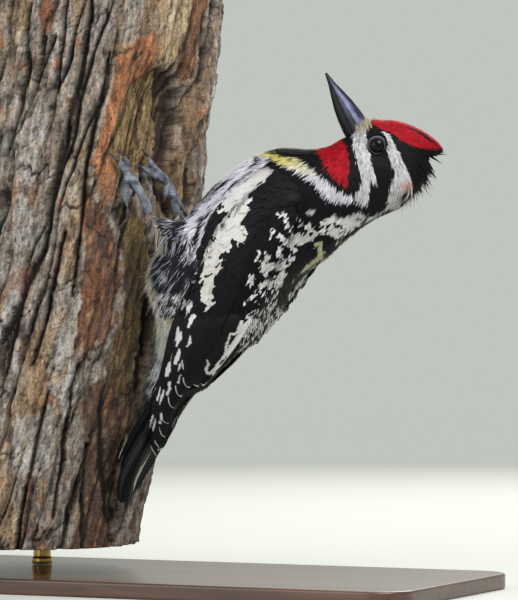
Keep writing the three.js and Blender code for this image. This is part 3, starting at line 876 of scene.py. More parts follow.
# %% Outlines of the body
UNDERPARTS = [
    (-80, 60), (-80, 172), (-1.2, 172), (-0.2, 164.2), (2.3, 162.8), (5.4, 160.8), (4.3, 159.9),
    (0.6, 158.4), (-2.7, 155.8), (-7.4, 151.5), (-11.4, 147.2), (-14.1, 145.2), (-15.8, 141.8),
    (-18.1, 136.5), (-19.8, 132.5), (-20.5, 128.4), (-22, 125), (-25, 116), (-27.8, 110.2), (-29.6, 105.5),
    (-31.6, 98), (-33.6, 92), (-35.6, 86), (-37.6, 81), (-39.6, 76.6), (-43.6, 71.2), (-47, 64),
]
THIGH = [
    (-45, 137.4), (-41.9, 135.5), (-37.8, 134.6), (-32.9, 135), (-27.8, 139.4), (-25.2, 140.4),
    (-27, 134.3), (-29.6, 129.5), (-28.9, 124.4), (-25.9, 121.8), (-23.6, 124.9), (-21.6, 126),
    (-22, 119.9), (-25.4, 114.4), (-27.8, 113), (-34.6, 112.1), (-37.8, 112.6), (-38.7, 118.3),
    (-39.1, 123.1), (-36.1, 126.9), (-38.2, 127.6), (-38.2, 131.1), (-40, 133.4),
]
FLUFF = [
    (-50, 131), (-42.6, 129.4), (-40.2, 130), (-38.2, 127.4), (-39.1, 123.1), (-38.7, 118.3),
    (-38.1, 112.8), (-36.6, 110.8), (-40.3, 109), (-46, 110), (-52, 118),
]
SHANK = [(-45, 142.5), (-24.4, 142.2), (-25.6, 139.4), (-31, 138.6), (-36, 138), (-41, 138), (-44, 138.6)]
PATCH = [
    (0.6, 158.2), (4, 158.9), (5.4, 157.4), (5.8, 155.2), (3.5, 152.2), (0.8, 150.5), (-0.6, 148.9),
    (-4, 147.5), (0.4, 146.9), (-3.4, 144), (-2.3, 142.6), (-4.4, 140.2), (-5.4, 136.8), (-4.6, 135.6),
    (-4.9, 132.1), (-6.7, 131.6), (-8.7, 131.8), (-10, 128.7), (-13.5, 126.6), (-13.4, 122.9),
    (-12.6, 122.3), (-15.6, 118), (-17.2, 114.6), (-17.1, 109.4), (-18.8, 106.4), (-20, 109), (-22, 111.1),
    (-20.5, 118), (-19.5, 124), (-18.4, 128.4), (-17, 130.3), (-14.8, 132.5), (-14.4, 134.5),
    (-13.4, 137.2), (-12.4, 139.8), (-11.4, 142.2), (-11.4, 143.8), (-11.8, 145.9), (-10.1, 148.5),
    (-7.4, 151.2), (-4.7, 153.6), (-2.7, 155.6),
]
NOSTRIL = [(35.6, 175), (37.1, 177), (40.1, 178.4), (41, 175.8), (40.5, 172.8), (37.9, 172.2), (36, 172.6)]
# %% Strokes of the back
# White clumps of the mantle, brush strokes with a half width at each place.
CLUMPS = [
    [(31.1, 139.9, 1.3), (26.4, 138.1, 1.7), (23.4, 136.4, 1.5)],
    [(19.6, 135.6, 1), (17.2, 137.9, 0.9), (15.3, 137.7, 0.5)],
    [(19.1, 133.9, 1), (14.8, 133.4, 1.9), (11, 131.9, 1.5), (8.4, 132.1, 0.6)],
    [(12.7, 129.6, 1.1), (10.6, 131.3, 0.9)],
    [(7.1, 130, 0.6), (6.9, 127.4, 0.7), (8.4, 126.6, 0.5)],
    [(11.4, 126.6, 0.6), (8.4, 124, 1), (5, 121.9, 0.8)],
    [(4.1, 124, 0.6), (1.6, 122.7, 1.4), (1.6, 120.8, 0.8)],
    [(8, 120.6, 0.8), (5.8, 117.1, 1.3), (1.6, 115.9, 1.7), (-0.2, 114.1, 1.2)],
    [(5, 113.7, 0.9), (1.6, 112.4, 1.4), (-2.7, 110.7, 0.9), (-6.2, 109.2, 0.35)],
    [(3.7, 110.3, 0.6), (0.7, 108.1, 0.8), (-1, 106, 0.6)],
    [(-1.9, 107.3, 0.7), (-3.6, 103.4, 0.7), (-5.7, 99.6, 0.9), (-7.4, 95.5, 0.7)],
    [(0.7, 105.1, 0.5), (-1.9, 102.6, 0.6)],
    [(2.4, 105.1, 0.7), (-0.6, 100.4, 0.9), (-4.4, 96.6, 1)],
    [(-8.7, 98.3, 0.5), (-11, 96, 0.6)],
    [(6.3, 141.4, 0.3), (9.1, 141.8, 0.4)],
    [(9.7, 140.3, 0.9), (9.7, 138.6, 0.7), (10.6, 136.9, 0.5)],
    [(12.9, 139.9, 0.5), (14.4, 140.5, 0.6)],
    [(17.2, 142.9, 0.6), (18.9, 142.2, 0.5)],
    [(3.3, 133.9, 0.3), (8, 134.1, 0.35)],
    [(4.1, 135.1, 0.35), (5, 136, 0.3)],
    [(-0.6, 127.9, 0.5), (-0.6, 125.7, 0.5)],
    [(2, 128.3, 0.45), (2.8, 127, 0.5), (1.6, 124.9, 0.4)],
    [(-3.4, 118.9, 0.7), (-3.6, 116.9, 0.8)],
]
# Olive-yellow streaks of the back, nearer to its middle line than the dark stripe.
BACK_STREAKS = [
    [(30.7, 133.9, 0.8), (28.6, 132.6, 0.9)],
    [(21.7, 131.7, 1.2), (22.1, 127.9, 1.1)],
    [(21.9, 127.2, 0.9), (18.7, 123.6, 1.4), (15.4, 120.4, 1.2)],
    [(13.6, 118.4, 1.1), (9.7, 114.6, 0.8)],
    [(4.7, 109.8, 1), (2.6, 106.6, 0.9)],
    [(-0.2, 103, 0.7), (-3.6, 98.4, 0.7)],
]
# %% Strokes of the wing and the thigh
# The drop-shaped white marks of the innermost flight feathers.
TERTIAL_MARKS = [
    [(-19.3, 88.1, 0.25), (-18.9, 86.5, 0.4), (-19.8, 84.6, 0.45), (-19.5, 83.2, 0.5), (-18, 83.2, 0.6),
     (-16.1, 85.3, 0.65), (-14.6, 87.7, 0.24), (-12.8, 90.2, 0.4), (-10.8, 92.8, 0.75), (-8.4, 95.6, 0.8),
     (-6.3, 98.7, 0.85), (-3.5, 101.2, 0.7), (-2.3, 103.9, 0.6)],
    [(-2.3, 103.9, 0.6), (-3.5, 102.2, 0.5), (-4.6, 104.6, 0.35), (-2.1, 107.1, 0.35)],
    [(-8.1, 98.4, 0.3), (-9.5, 97.8, 0.5), (-10.7, 98, 0.35), (-11.4, 95.6, 0.35), (-12.4, 93.1, 0.4),
     (-12.3, 90.4, 0.45), (-13.1, 88.6, 0.3)],
    [(-17.3, 80.6, 0.35), (-16.4, 82.7, 0.9), (-14.7, 84.1, 0.75), (-12.2, 85.5, 0.28), (-9.5, 88.3, 0.35),
     (-7.7, 90.4, 1), (-5.6, 93.5, 1.1), (-3.2, 96.6, 1), (-1.4, 99.1, 1), (0.6, 102.2, 0.8),
     (2.4, 104.6, 0.5)],
    [(-5.8, 109.3, 0.28), (-4.2, 110.9, 0.6), (-1.8, 112.3, 0.5)],
]
# White spots on the outer edges of the flight feathers.
SPOTS = [
    [(-26.8, 110.2, 0.4), (-27.2, 108.1, 0.7), (-27.7, 106.4, 0.55)],
    [(-24.8, 109.9, 0.5), (-25.5, 107.8, 0.8), (-26.2, 105.9, 0.55)],
    [(-24.4, 105.7, 0.45), (-25.1, 103.2, 0.75), (-26.3, 100.5, 0.5)],
    [(-22.9, 105, 0.28), (-23, 103.9, 0.3)],
    [(-30, 100.1, 0.4), (-30.3, 97.7, 0.7), (-30.7, 95.6, 0.5)],
    [(-29, 98.5, 0.4), (-29.5, 96.3, 0.75), (-30.7, 93.5, 0.38)],
    [(-25.5, 97.1, 0.24), (-25.6, 94.9, 0.5), (-26.7, 93.3, 0.28)],
    [(-29.6, 91.9, 0.4), (-30.2, 89.3, 0.85), (-31.2, 87, 0.6)],
    [(-28.7, 87.7, 0.24), (-28.3, 84.8, 0.24)],
    [(-29.4, 86.7, 0.3), (-30.1, 84.3, 0.24)],
    [(-33.3, 87.2, 0.4), (-33.8, 84.8, 0.9), (-34.5, 82.5, 0.7)],
    [(-29.3, 82.7, 0.24), (-30.3, 79.6, 0.3)],
    [(-33.5, 79.6, 0.5), (-33.6, 77.5, 0.6), (-34.5, 75, 0.4)],
    [(-37, 77.5, 0.3), (-37.5, 75, 0.35), (-38.3, 72.8, 0.24)],
    [(-35.8, 76.5, 0.35), (-36.4, 74.2, 0.42), (-37.3, 71.6, 0.28)],
    [(-39.9, 67.4, 0.22), (-40.5, 64.8, 0.34), (-41.1, 62.5, 0.22)],
    [(-39, 65.7, 0.26), (-39.6, 63.2, 0.36), (-40.1, 61.2, 0.26)],
    [(-36.7, 67.9, 0.26), (-36.8, 65.9, 0.34), (-37.5, 64, 0.26)],
]
# Pale hairs that curve over the dark thigh.
THIGH_HAIRS = [
    [(-27.4, 137.2, 0.2), (-30.4, 134.9, 0.3), (-34.9, 132.6, 0.4), (-37.6, 129.7, 0.45),
     (-38.9, 126.9, 0.3)],
    [(-27.8, 132.9, 0.2), (-31.7, 130.7, 0.35), (-35.5, 127.2, 0.5), (-38.4, 124.4, 0.55),
     (-39.1, 121.5, 0.3)],
    [(-23.3, 120.5, 0.32), (-25.2, 117.6, 0.5), (-27.5, 114.7, 0.26)],
    [(-35.2, 119.4, 0.3), (-34.4, 117.6, 0.8), (-35.2, 115.8, 0.4)],
]

# %% Paint the pattern
def three_quarter(points):
    """Places on the three-quarter elevation: across and up, for points of the unturned bird."""
    angle = VIEW_TURN - twist_at(points)
    ahead = (points[:, 0] - TURN_AXIS_X) * np.cos(angle) - np.abs(points[:, 1]) * np.sin(angle)
    return np.stack([TURN_AXIS_X * math.cos(VIEW_TURN) + ahead, points[:, 2]], 1)


def blots(points, heading, length, width, seed):
    """Blot noise from 0 to 1, stretched along a heading in the side plane, in degrees from +X."""
    angle = math.radians(heading)
    along = points[:, 0] * math.cos(angle) + points[:, 2] * math.sin(angle)
    beside = points[:, 2] * math.cos(angle) - points[:, 0] * math.sin(angle)
    stretched = np.stack([along / length, beside / width, points[:, 1] / width], 1)
    return 0.62 * noise(stretched, 1, seed) + 0.38 * noise(stretched, 0.47, seed + 3)


def choose(mask, first, second):
    return np.where(mask[:, None], first, second)


def brushed(side, strokes, fray=0.0):
    """True for places of the elevation inside any of the strokes. Fray shifts their edges."""
    painted = np.zeros(len(side), bool)
    for line in strokes:
        away, where = near_segments(side, line)
        half = np.interp(where, np.arange(len(line)), [row[2] for row in line])
        painted |= away < half + fray
    return painted


# %% Paint the underparts and the wing
def underparts_colour(points, side):
    """Flank, belly and vent: pale with dark streaks, bars below, and a plain cream middle."""
    x, y, z = points.T
    middle = smooth_step(-np.abs(y), -9, -4) * (0.25 + 0.75 * smooth_step(146 - z, 0, 14))
    tuft_cell = np.floor(points / 0.4).astype(np.int64)
    single = hash_noise(tuft_cell, 46)  # a new number for every tuft
    cream = np.clip(smooth_step(-x, 22, 38) * smooth_step(140 - z, 0, 12) + middle, 0, 1)
    pale = blend(linear((232, 230, 244)), CREAM, cream)
    pale = blend(pale, WHITE, smooth_step(-z, -118, -104))
    pale = pale * (0.84 + 0.26 * hash_noise(tuft_cell, 47))[:, None]
    # Streaks run alongside the wing's edge: thin across it, and long down it.
    from_wing = side[:, 0] - np.interp(z, [110, 125, 137, 145, 152, 160], [-29, -24, -20, -16, -9, 2])
    across_streaks = np.stack([from_wing / 1.0, z / 8, 0 * z], 1)
    finer = across_streaks * np.array([2.1, 1.6, 1])
    streaks = 0.6 * noise(across_streaks, 1, 40) + 0.4 * noise(finer, 1, 41)
    dark_share = 0.39 + 0.08 * smooth_step(from_wing, -7, 1) - 0.10 * cream
    dark_share = dark_share - 0.10 * smooth_step(-from_wing, 9, 16) + 0.10 * (single - 0.5)
    dark = np.clip(9 * (dark_share - streaks) + 0.5, 0, 1)
    flank = blend(pale, SOOT * 0.8, dark)
    bars = blots(points, -24, 7, 2.2, 43)
    vent = choose(bars + 0.2 * (single - 0.5) > 0.42 + 0.12 * middle, WHITE, GREY * 0.35)
    return choose(z < 113, vent, flank)


def wing_marks(points, side, colours):
    """Adds the white of the wing: a long patch crossed by buff lines of painted shade, rows of spots, and
    drops on the innermost feathers.
    """
    across = np.abs(points[:, 1])
    # Painted shade: buff scallop lines across the white patch, where each covert shades the base of the next.
    scallop_shade = smooth_step(blots(points, 62, 2.8, 8.0, 64), 0.50, 0.72)
    patch_tone = blend(WHITE * 0.80, BUFF, 0.42 * scallop_shade)
    colours = choose(inside(side, PATCH) & (across > 9), patch_tone, colours)
    ragged = 0.14 * (noise(points * np.array([3, 0, 1]), 0.9, 12) - 0.5)
    marks = brushed(side, SPOTS + TERTIAL_MARKS, ragged) & (across > 2.5)
    return choose(marks, WHITE * 0.9, colours)


def wing_colours(points):
    """The colour of the long wing feathers at points of the unturned bird."""
    side = three_quarter(points)
    return wing_marks(points, side, np.tile(BLACK, (len(points), 1)))


# %% Paint the whole plumage
def markings(points):
    """The plumage colour at points of the unturned bird."""
    x, y, z = points.T
    side = three_quarter(points)
    across = np.abs(y)
    fray = 0.5 * (noise(points, 1.1, 11) - 0.5)
    colours = np.tile(BLACK, (len(points), 1))

    under = inside(side, UNDERPARTS) & (x < 8)
    colours = choose(under, underparts_colour(points, side), colours)
    thigh = inside(side, THIGH) & (across > 6)
    thigh_tone = blend(SOOT, GREY, np.clip(2.6 * blots(points, 30, 7, 0.8, 47) - 1.5, 0, 0.55))
    colours = choose(thigh, thigh_tone, colours)
    colours = choose(brushed(side, THIGH_HAIRS, fray) & (across > 6), COOL, colours)
    shank = inside(side, SHANK) & (across > 6)
    colours = choose(shank & (blots(points, 178, 5, 0.8, 48) > 0.40), COOL, colours)
    fluff = blend(CREAM, SHADE, 0.8 * noise(points, 2.2, 49))
    colours = choose(inside(side, FLUFF), fluff, colours)

    # the back: a dark middle line, olive streaks beside it, then a dark stripe and white clumps
    grain = blots(points, 52, 3.4, 0.8, 50)
    low = smooth_step(-z, -120, -110)  # the lower back is broken up by long black streaks
    sparse = 0.24 + 0.18 * low + 0.5 * low * (blots(points, 50, 8, 0.9, 57) > 0.53)
    clumps = brushed(side, CLUMPS, 0.15 + fray * 1.6) & (grain > sparse) & ~under
    clump_tone = blend(WHITE, SHADE, np.clip(1.3 * grain - 0.5, 0, 0.45))
    colours = choose(clumps, clump_tone, colours)
    streaks = brushed(side, BACK_STREAKS, fray * 1.4) & (grain > sparse + 0.06) & (across > 1.1)
    whiter = 0.7 * smooth_step(-z, -118, -106)
    streak_tone = blend(STRAW, WHITE, np.clip(1.6 * grain - 0.7 + whiter, 0, 0.8))
    colours = choose(streaks & ~under, streak_tone, colours)

    # the side and back of the neck
    ruff = blots(points, 40, 3.2, 1.1, 60)
    neck = choose(ruff > 0.42 + 0.30 * (across < 3.0), WHITE, BLACK)
    colours = choose(inside(side, NECK_WHITE) & (across > 1.6), neck, colours)

    colours = wing_marks(points, side, colours)

    # the line from the cheek over the breast, yellow where it meets the flank
    upper_edge = 162.8 - 0.37 * side[:, 0]
    golden = smooth_step(-side[:, 0], -24, -4) ** 0.7 * smooth_step(z - upper_edge, -2.0, 0.8)
    line_tone = blend(blend(WHITE, COOL, noise(points, 1.5, 4)), YELLOW, golden)
    colours = choose(inside(side, BREAST_LINE), line_tone, colours)

    # the face
    throat = blend(DEEP_RED, RED, noise(points, 1.2, 3))
    colours = choose(inside(side, THROAT) & (across < 14), throat, colours)
    stubble = blots(points, 84, 2.6, 0.5, 5)
    cheek = blend(linear((206, 203, 206)), linear((118, 114, 118)), np.clip(2.4 * stubble - 1.1, 0, 0.85))
    colours = choose(inside(side, MALAR) & (across > 1.5), cheek, colours)
    colours = choose(inside(side, EAR) & (across > 2.5), cheek, colours)
    rusty = np.exp(-(((side[:, 0] - 54.8) / 1.5) ** 2 + ((z - 151.2) / 2.0) ** 2)) * (across > 3)
    colours = blend(colours, ORANGE, np.clip(rusty * 0.9, 0, 0.6))
    nostril = blend(linear((198, 190, 174)), linear((104, 94, 80)), stubble**2 * 1.6)
    colours = choose(inside(side, NOSTRIL), nostril, colours)
    crown = blend(RED, DEEP_RED, blots(points, -22, 3.5, 0.8, 8))
    colours = choose(inside(side, CROWN), crown, colours)
    colours = choose(brushed(side, [CROWN_SLIT]) & (across > 1.6), BLACK, colours)
    return colours


# Painted shade: the skin takes the markings at half brightness, for the shade deep between the tufts.
store_colours(skin_mesh, markings(unturned(mesh_points(skin_mesh))) * 0.5)
print("markings stored on the skin")

# %% [markdown]
# ## The lie of the coat
#
# Feathers lie away from the bill. A few lines drawn in the side plane say which way: over
# the crown, down the cheek, along the back and along the belly. At any point the lie is a blend
# of the directions of the lines, weighted towards the nearest. It is then turned with the neck
# and laid into the surface.

# %% Direction of the feathers
LIE_LINES = [
    [(40, 178), (46, 179), (55, 177.5), (63, 174.6), (73, 170.4)],
    [(44, 174.5), (51, 172.5), (58, 170), (66, 168), (74, 167)],
    [(52, 170), (58, 166), (64, 160.5), (69, 154)],
    [(60, 163), (62.5, 156), (60, 149), (52, 142.5), (43, 136), (34, 130)],
    [(34, 130), (21, 121), (9, 109), (-1, 97), (-11, 86), (-24, 76), (-36, 67)],
    [(49, 172), (51, 166), (53, 159), (55, 152), (52, 145.5), (42, 139), (30, 132), (20, 124)],
    [(45, 164), (46.5, 157), (47, 151), (42, 143.5), (33, 137), (22, 128), (12, 118), (2, 107), (-9, 95)],
    [(40, 175), (40.5, 167), (41.8, 158), (42.5, 151), (38, 145), (30, 139.5), (20, 131)],
    [(36, 173), (35, 166), (34, 159), (33.5, 152), (29, 146), (20, 138), (11, 128)],
    [(32, 170), (28, 164), (24, 158.5), (17, 152), (9, 144), (1, 133)],
    [(26, 167.5), (16, 164.5), (8, 159.5), (0, 152.5), (-8, 143), (-15, 130), (-22, 115)],
    [(8, 168), (-4, 163), (-17, 153), (-29, 141), (-36, 128), (-38, 112)],
    [(-34, 136), (-42, 124), (-43, 108), (-42, 94), (-47, 76), (-52, 62)],
    [(-20, 118), (-28, 104), (-36, 90), (-43, 76), (-50, 60)],
]
lie_places, lie_ways = [], []
for line in LIE_LINES:
    corners = np.array(line, float)
    for start, end in zip(corners[:-1], corners[1:]):
        for share in (0.17, 0.5, 0.83):
            lie_places.append(start + (end - start) * share)
            lie_ways.append((end - start) / np.linalg.norm(end - start))
lie_places, lie_ways = np.array(lie_places), np.array(lie_ways)


def lie_at(points):
    """The way the feathers point at points of the unturned bird, before it is laid into the surface."""
    ways = np.zeros((len(points), 2))
    for place, way in zip(lie_places, lie_ways):
        away = ((points[:, [0, 2]] - place) ** 2).sum(1)
        ways += way / (away + 4.0)[:, None] ** 2
    ways = unit(ways)
    return np.stack([ways[:, 0], np.zeros(len(points)), ways[:, 1]], 1)


def turn_ways(ways, angle):
    cos, sin = np.cos(angle), np.sin(angle)
    return np.stack([ways[:, 0] * cos - ways[:, 1] * sin, ways[:, 0] * sin + ways[:, 1] * cos, ways[:, 2]], 1)


# %% [markdown]
# ## Where feathers grow
#
# Roots are scattered over the skin's triangles by area, and then thinned: of all roots that fall
# in one small cube, only the first stays. That spaces them evenly, as feathers are, with no
# clumps and no gaps. The cube's size is the spacing.

# %% Scatter roots
rng = np.random.default_rng(7)
skin_mesh.calc_loop_triangles()
corner_ids = np.empty(len(skin_mesh.loop_triangles) * 3, np.int32)
skin_mesh.loop_triangles.foreach_get("vertices", corner_ids)
skin_corners = corner_ids.reshape(-1, 3)
skin_points = mesh_points(skin_mesh)
skin_normals = mesh_normals(skin_mesh)
skin_tree = BVHTree.FromPolygons([Vector(row) for row in skin_points], skin_corners.tolist())
triangle_places = skin_points[skin_corners]
first_side = triangle_places[:, 1] - triangle_places[:, 0]
second_side = triangle_places[:, 2] - triangle_places[:, 0]
triangle_areas = 0.5 * np.linalg.norm(np.cross(first_side, second_side), axis=1)


def scatter(count):
    """Even random points on the skin, with smooth normals."""
    chosen = rng.choice(len(skin_corners), count, p=triangle_areas / triangle_areas.sum())
    first, second = rng.random(count), rng.random(count)
    over = first + second > 1
    first, second = np.where(over, 1 - first, first), np.where(over, 1 - second, second)
    weights = np.stack([1 - first - second, first, second], 1)[:, :, None]
    corners = skin_corners[chosen]
    return (skin_points[corners] * weights).sum(1), unit((skin_normals[corners] * weights).sum(1))


def thin_out(points, spacing):
    """Keeps one point in each cube of the spacing. The spacing may differ from point to point."""
    step = np.round(np.log2(spacing) * 4).astype(np.int64)
    cube = np.floor(points / 2 ** (step[:, None] / 4)).astype(np.int64)
    keys = np.concatenate([cube, step[:, None]], 1)
    return np.sort(np.unique(keys, axis=0, return_index=True)[1])


# %% [markdown]
# ## A tuft
#
# One tuft is a thin closed lens: its root in the skin, then one or more levels with a left edge, a
# right edge and a low ridge between them, and its tip. A narrow tuft has one level. A broad
# covert, rounded like a roof tile, has three. Each level and the tip are set over the nearest
# point of the skin, so a tuft bends with the body and lies on it. The shading normals lean on the
# skin's own, which makes thousands of tufts shade as one soft surface.

# %% Grow tufts
SPINE = [(-60, 28), (-46, 58), (-38, 84), (-24, 104), (-8, 124), (10, 141), (28, 150), (48, 159), (66, 168)]
TUFT_PATCH = 0.0015  # half the width of a tuft's patch on the unwrap
# The levels of a tuft: the share of its length, and the share of its half width there.
NARROW = [(0.5, 1.0)]
BLUNT = [(0.35, 0.85), (0.78, 0.9)]
BROAD = [(0.30, 0.72), (0.66, 1.0), (0.90, 0.66)]
MOST_TRIANGLES = 195000  # in one piece


def on_skin(points):
    """The nearest places on the skin and the way out there."""
    places, outwards = np.empty_like(points), np.empty_like(points)
    for index, point in enumerate(points):
        place, outward, _, _ = skin_tree.find_nearest(Vector(point))
        places[index], outwards[index] = place, outward
    return places, outwards


def unwrap(plain):
    """The skin slit along the belly and rolled out: round the body across, along the spine upwards."""
    side = plain[:, [0, 2]]
    _, along = near_segments(side, SPINE)
    spine = np.array(SPINE, float)
    steps = np.arange(len(spine))
    centre_x, centre_z = np.interp(along, steps, spine[:, 0]), np.interp(along, steps, spine[:, 1])
    lift = (side[:, 0] - centre_x) * 0.72 - (side[:, 1] - centre_z) * 0.69
    round_body = np.arctan2(plain[:, 1], lift) / (2 * math.pi) + 0.5
    return np.stack([round_body, along / (len(spine) - 1)], 1)


def tuft_faces(levels):
    """The triangles of one tuft: corner 0 is the root, three for each level, the last is the tip."""
    faces = [(0, 1, 3), (0, 3, 2), (0, 2, 1)]
    for level in range(levels - 1):
        left, right, ridge = 1 + 3 * level, 2 + 3 * level, 3 + 3 * level
        faces += [(left, left + 3, ridge), (ridge, left + 3, ridge + 3)]
        faces += [(ridge, ridge + 3, right), (right, ridge + 3, right + 3)]
        faces += [(left, right, left + 3), (right, right + 3, left + 3)]
    left, right, ridge, tip = 3 * levels - 2, 3 * levels - 1, 3 * levels, 3 * levels + 1
    return np.array(faces + [(left, tip, ridge), (ridge, tip, right), (left, right, tip)])[:, ::-1]


# %% Grow one piece of coat
def grow(name, plan, levels=NARROW, thickness=0.1):
    """One coat piece. The plan holds an array for each property of its tufts. Loose tufts go their
    own way, and all others are laid over the skin."""
    roots, outwards, length = plan["roots"], plan["outwards"], plan["length"]
    faces = tuft_faces(len(levels))
    count, corners_each = len(roots), 3 * len(levels) + 2
    ways = unit(plan["ways"] - outwards * (plan["ways"] * outwards).sum(1, keepdims=True))
    beside = unit(np.cross(outwards, ways))
    corners, normals, shares = [roots - outwards * 0.15], [outwards], [0.0]
    last_out = outwards
    for share, half_share in levels + [(1.0, 0.0)]:
        spot, spot_out = on_skin(roots + ways * (share * length)[:, None])
        spot_out = unit(spot_out + last_out)
        height = plan["middle"] * min(1, 2 * share) + (plan["tip"] - plan["middle"]) * max(0, 2 * share - 1)
        spot = spot + spot_out * height[:, None]
        free = roots + ways * (share * length)[:, None] + outwards * (height * share)[:, None]
        spot = spot + (free - spot) * (plan["loose"] * share)
        last_out = spot_out
        if share < 1:
            half = (half_share * plan["width"] / 2)[:, None]
            corners += [spot + beside * half, spot - beside * half, spot + spot_out * thickness]
            lean = plan["lean"] * beside
            normals += [unit(spot_out + lean), unit(spot_out - lean), spot_out]
            shares += [share] * 3
        else:
            corners.append(spot)
            normals.append(unit(spot_out + 0.15 * ways))
            shares.append(1.0)
    corners, normals = np.stack(corners, 1), np.stack(normals, 1)
    triangles = (np.arange(count)[:, None, None] * corners_each + faces).reshape(-1, 3)
    place = unwrap(unturned(roots))
    low, high = place.min(0), place.max(0)
    place = 0.01 + 0.98 * (place - low) / np.maximum(high - low, 1e-6)
    spread = np.zeros((corners_each, 2))
    spread[:, 1] = 2 * np.array(shares) - 1
    spread[1:-1:3, 0], spread[2:-1:3, 0] = -1, 1
    uv = (place[:, None, :] + spread * TUFT_PATCH).reshape(-1, 2)
    shade = np.interp(shares, [0, 0.35, 0.7], [plan["root_shade"], plan["root_shade"], 1.0])
    colours = plan["colours"][:, None, :] * shade[None, :, None]
    rows = [table.reshape(-1, 3) for table in (corners, colours, normals)]
    piece = joined_mesh(name, rows[0], triangles, rows[1], uv, rows[2])
    print(name, count, "tufts,", len(triangles), "triangles")
    finish_piece(piece, PLUMAGE)


# %% [markdown]
# Feathers get longer and broader from the bill to the tail: fine and flat on the face, long and
# pointed at the crest and nape, broad on the back, and loose and fluffy on belly and thighs. The
# wing above its long feathers is covered with broad coverts, and under the long feathers nothing
# grows.

# %% Choose size and place for each tuft
def feather_material(name, roughness, sheen):
    """Feathers tell their colour by the Tint attribute, with a slight shine along the barbs."""
    material = paint(name, roughness, Sheen_Weight=sheen, Sheen_Roughness=0.4, Specular_IOR_Level=0.14)
    set_shader(material, Base_Color=add_tint(material))
    return material


PLUMAGE = feather_material("plumage", 0.6, 0.02)

EYE_PLACE = np.array([47.0, 167.5])
BILL_BASE = np.array([39.0, 175.1])
# Outlines on the three-quarter elevation: the wing's coverts, and the zone of its long feathers.
COVERTS = [
    (7, 160.5), (4, 158.5), (-2.7, 155.2), (-7.4, 151), (-11.4, 146.8), (-14.1, 144.6), (-15.8, 141.2),
    (-18.1, 136), (-19.8, 132), (-20.5, 128), (-22, 124.5), (-25, 116), (-28.5, 110), (-26, 106),
    (-19, 103.5), (-13, 107), (-9, 112), (-6, 116), (-5, 121), (-3, 127), (-2, 132), (1, 137), (3, 143),
    (9, 147), (15, 150), (17, 154), (12, 158),
]
LONG_FEATHERS = [
    (-28.5, 110), (-31.5, 104), (-34, 97), (-36, 90), (-38, 83), (-40, 76), (-42.5, 70), (-44, 60),
    (-44, 48), (-38, 48), (-35, 60), (-30, 69), (-25, 73.5), (-18.7, 77), (-14.2, 84), (-11.2, 90),
    (-8.5, 95.5), (-5, 100), (-4, 104), (-9, 112), (-13, 107), (-19, 103.5), (-26, 106),
]
MANTLE = [
    (-5, 100), (-6, 116), (-5, 121), (-3, 127), (-2, 132), (1, 137), (3, 143), (9, 147), (22, 144.5),
    (32, 143), (44, 142), (60, 152), (60, 100), (10, 80), (-8, 88),
]


def tuft_plan(plain, low_tips):
    """Length, width, middle and tip height, and spacing of the tufts at points of the unturned bird."""
    x, y, z = plain.T
    side = plain[:, [0, 2]]
    rise = plain @ NECK_RISE
    face = np.exp(-(((np.linalg.norm(side - EYE_PLACE, axis=1)) / 8) ** 2))
    by_bill = np.exp(-((np.linalg.norm(side - BILL_BASE, axis=1) / 6) ** 2))
    head = smooth_step(rise, 140, 156)
    length = 5.8 - 2.5 * head - 1.2 * face - 1.1 * by_bill
    width = 0.62 - 0.24 * head
    spacing = 0.50 - 0.11 * head
    middle = 0.75 - 0.35 * head - 0.15 * face
    tip = 1.35 - 0.65 * head - 0.3 * face
    crown = smooth_step(z + 0.45 * (x - 45), 174, 178) * smooth_step(x, 46, 60)
    length = length + 2.0 * crown
    nape = smooth_step(x, 57, 62) * smooth_step(z, 152, 156) * (1 - crown)
    length = length + 3.4 * nape
    tip = tip + 1.6 * nape * low_tips**2
    on_crest = smooth_step(z, 163, 166) * smooth_step(x, 58, 62)
    length = np.where(on_crest > 0.5, np.minimum(length, np.clip(1.15 * (72.2 - x), 1.2, 9)), length)
    flank = smooth_step(-side[:, 0], -4, 8) * smooth_step(z, 116, 124) * smooth_step(np.abs(y), 3, 8)
    length = length + 1.8 * flank
    width = width - 0.12 * flank
    belly = smooth_step(-x, 26, 40) * smooth_step(150 - z, 0, 12)
    length = length + 3.0 * belly
    width = width - 0.16 * belly
    tip = tip + 1.1 * belly * low_tips
    return length, width, middle, tip, spacing


# %% Root the feathers
CANDIDATES = 2000000
COARSE = 1.0
roots, root_normals = scatter(CANDIDATES)
plain_roots = unturned(roots)
keep = thin_out(roots, tuft_plan(plain_roots, 0)[4] * COARSE)
roots, root_normals, plain_roots = roots[keep], root_normals[keep], plain_roots[keep]
side_roots = three_quarter(plain_roots)
wide_out = np.abs(plain_roots[:, 1]) > 7
on_coverts = inside(side_roots, COVERTS) & wide_out
on_mantle = inside(side_roots, MANTLE) & ~on_coverts
bare = (inside(side_roots, LONG_FEATHERS) & wide_out) | (plain_roots[:, 2] < 64)
print("roots", len(roots), "on the coverts", on_coverts.sum(), "under long feathers", bare.sum())

# %% [markdown]
# ### Plans
#
# A plan holds the arrays that one piece of coat needs. The narrow tufts take theirs from
# `tuft_plan`. Coverts and mantle feathers are broader and flatter. Hairs are few, long and thin,
# and stand away from the body: the fringe at the nape, the bristles at the bill's root, and the
# wisps of the thighs and the belly.

# %% Plans for each kind of tuft
rng = np.random.default_rng(11)


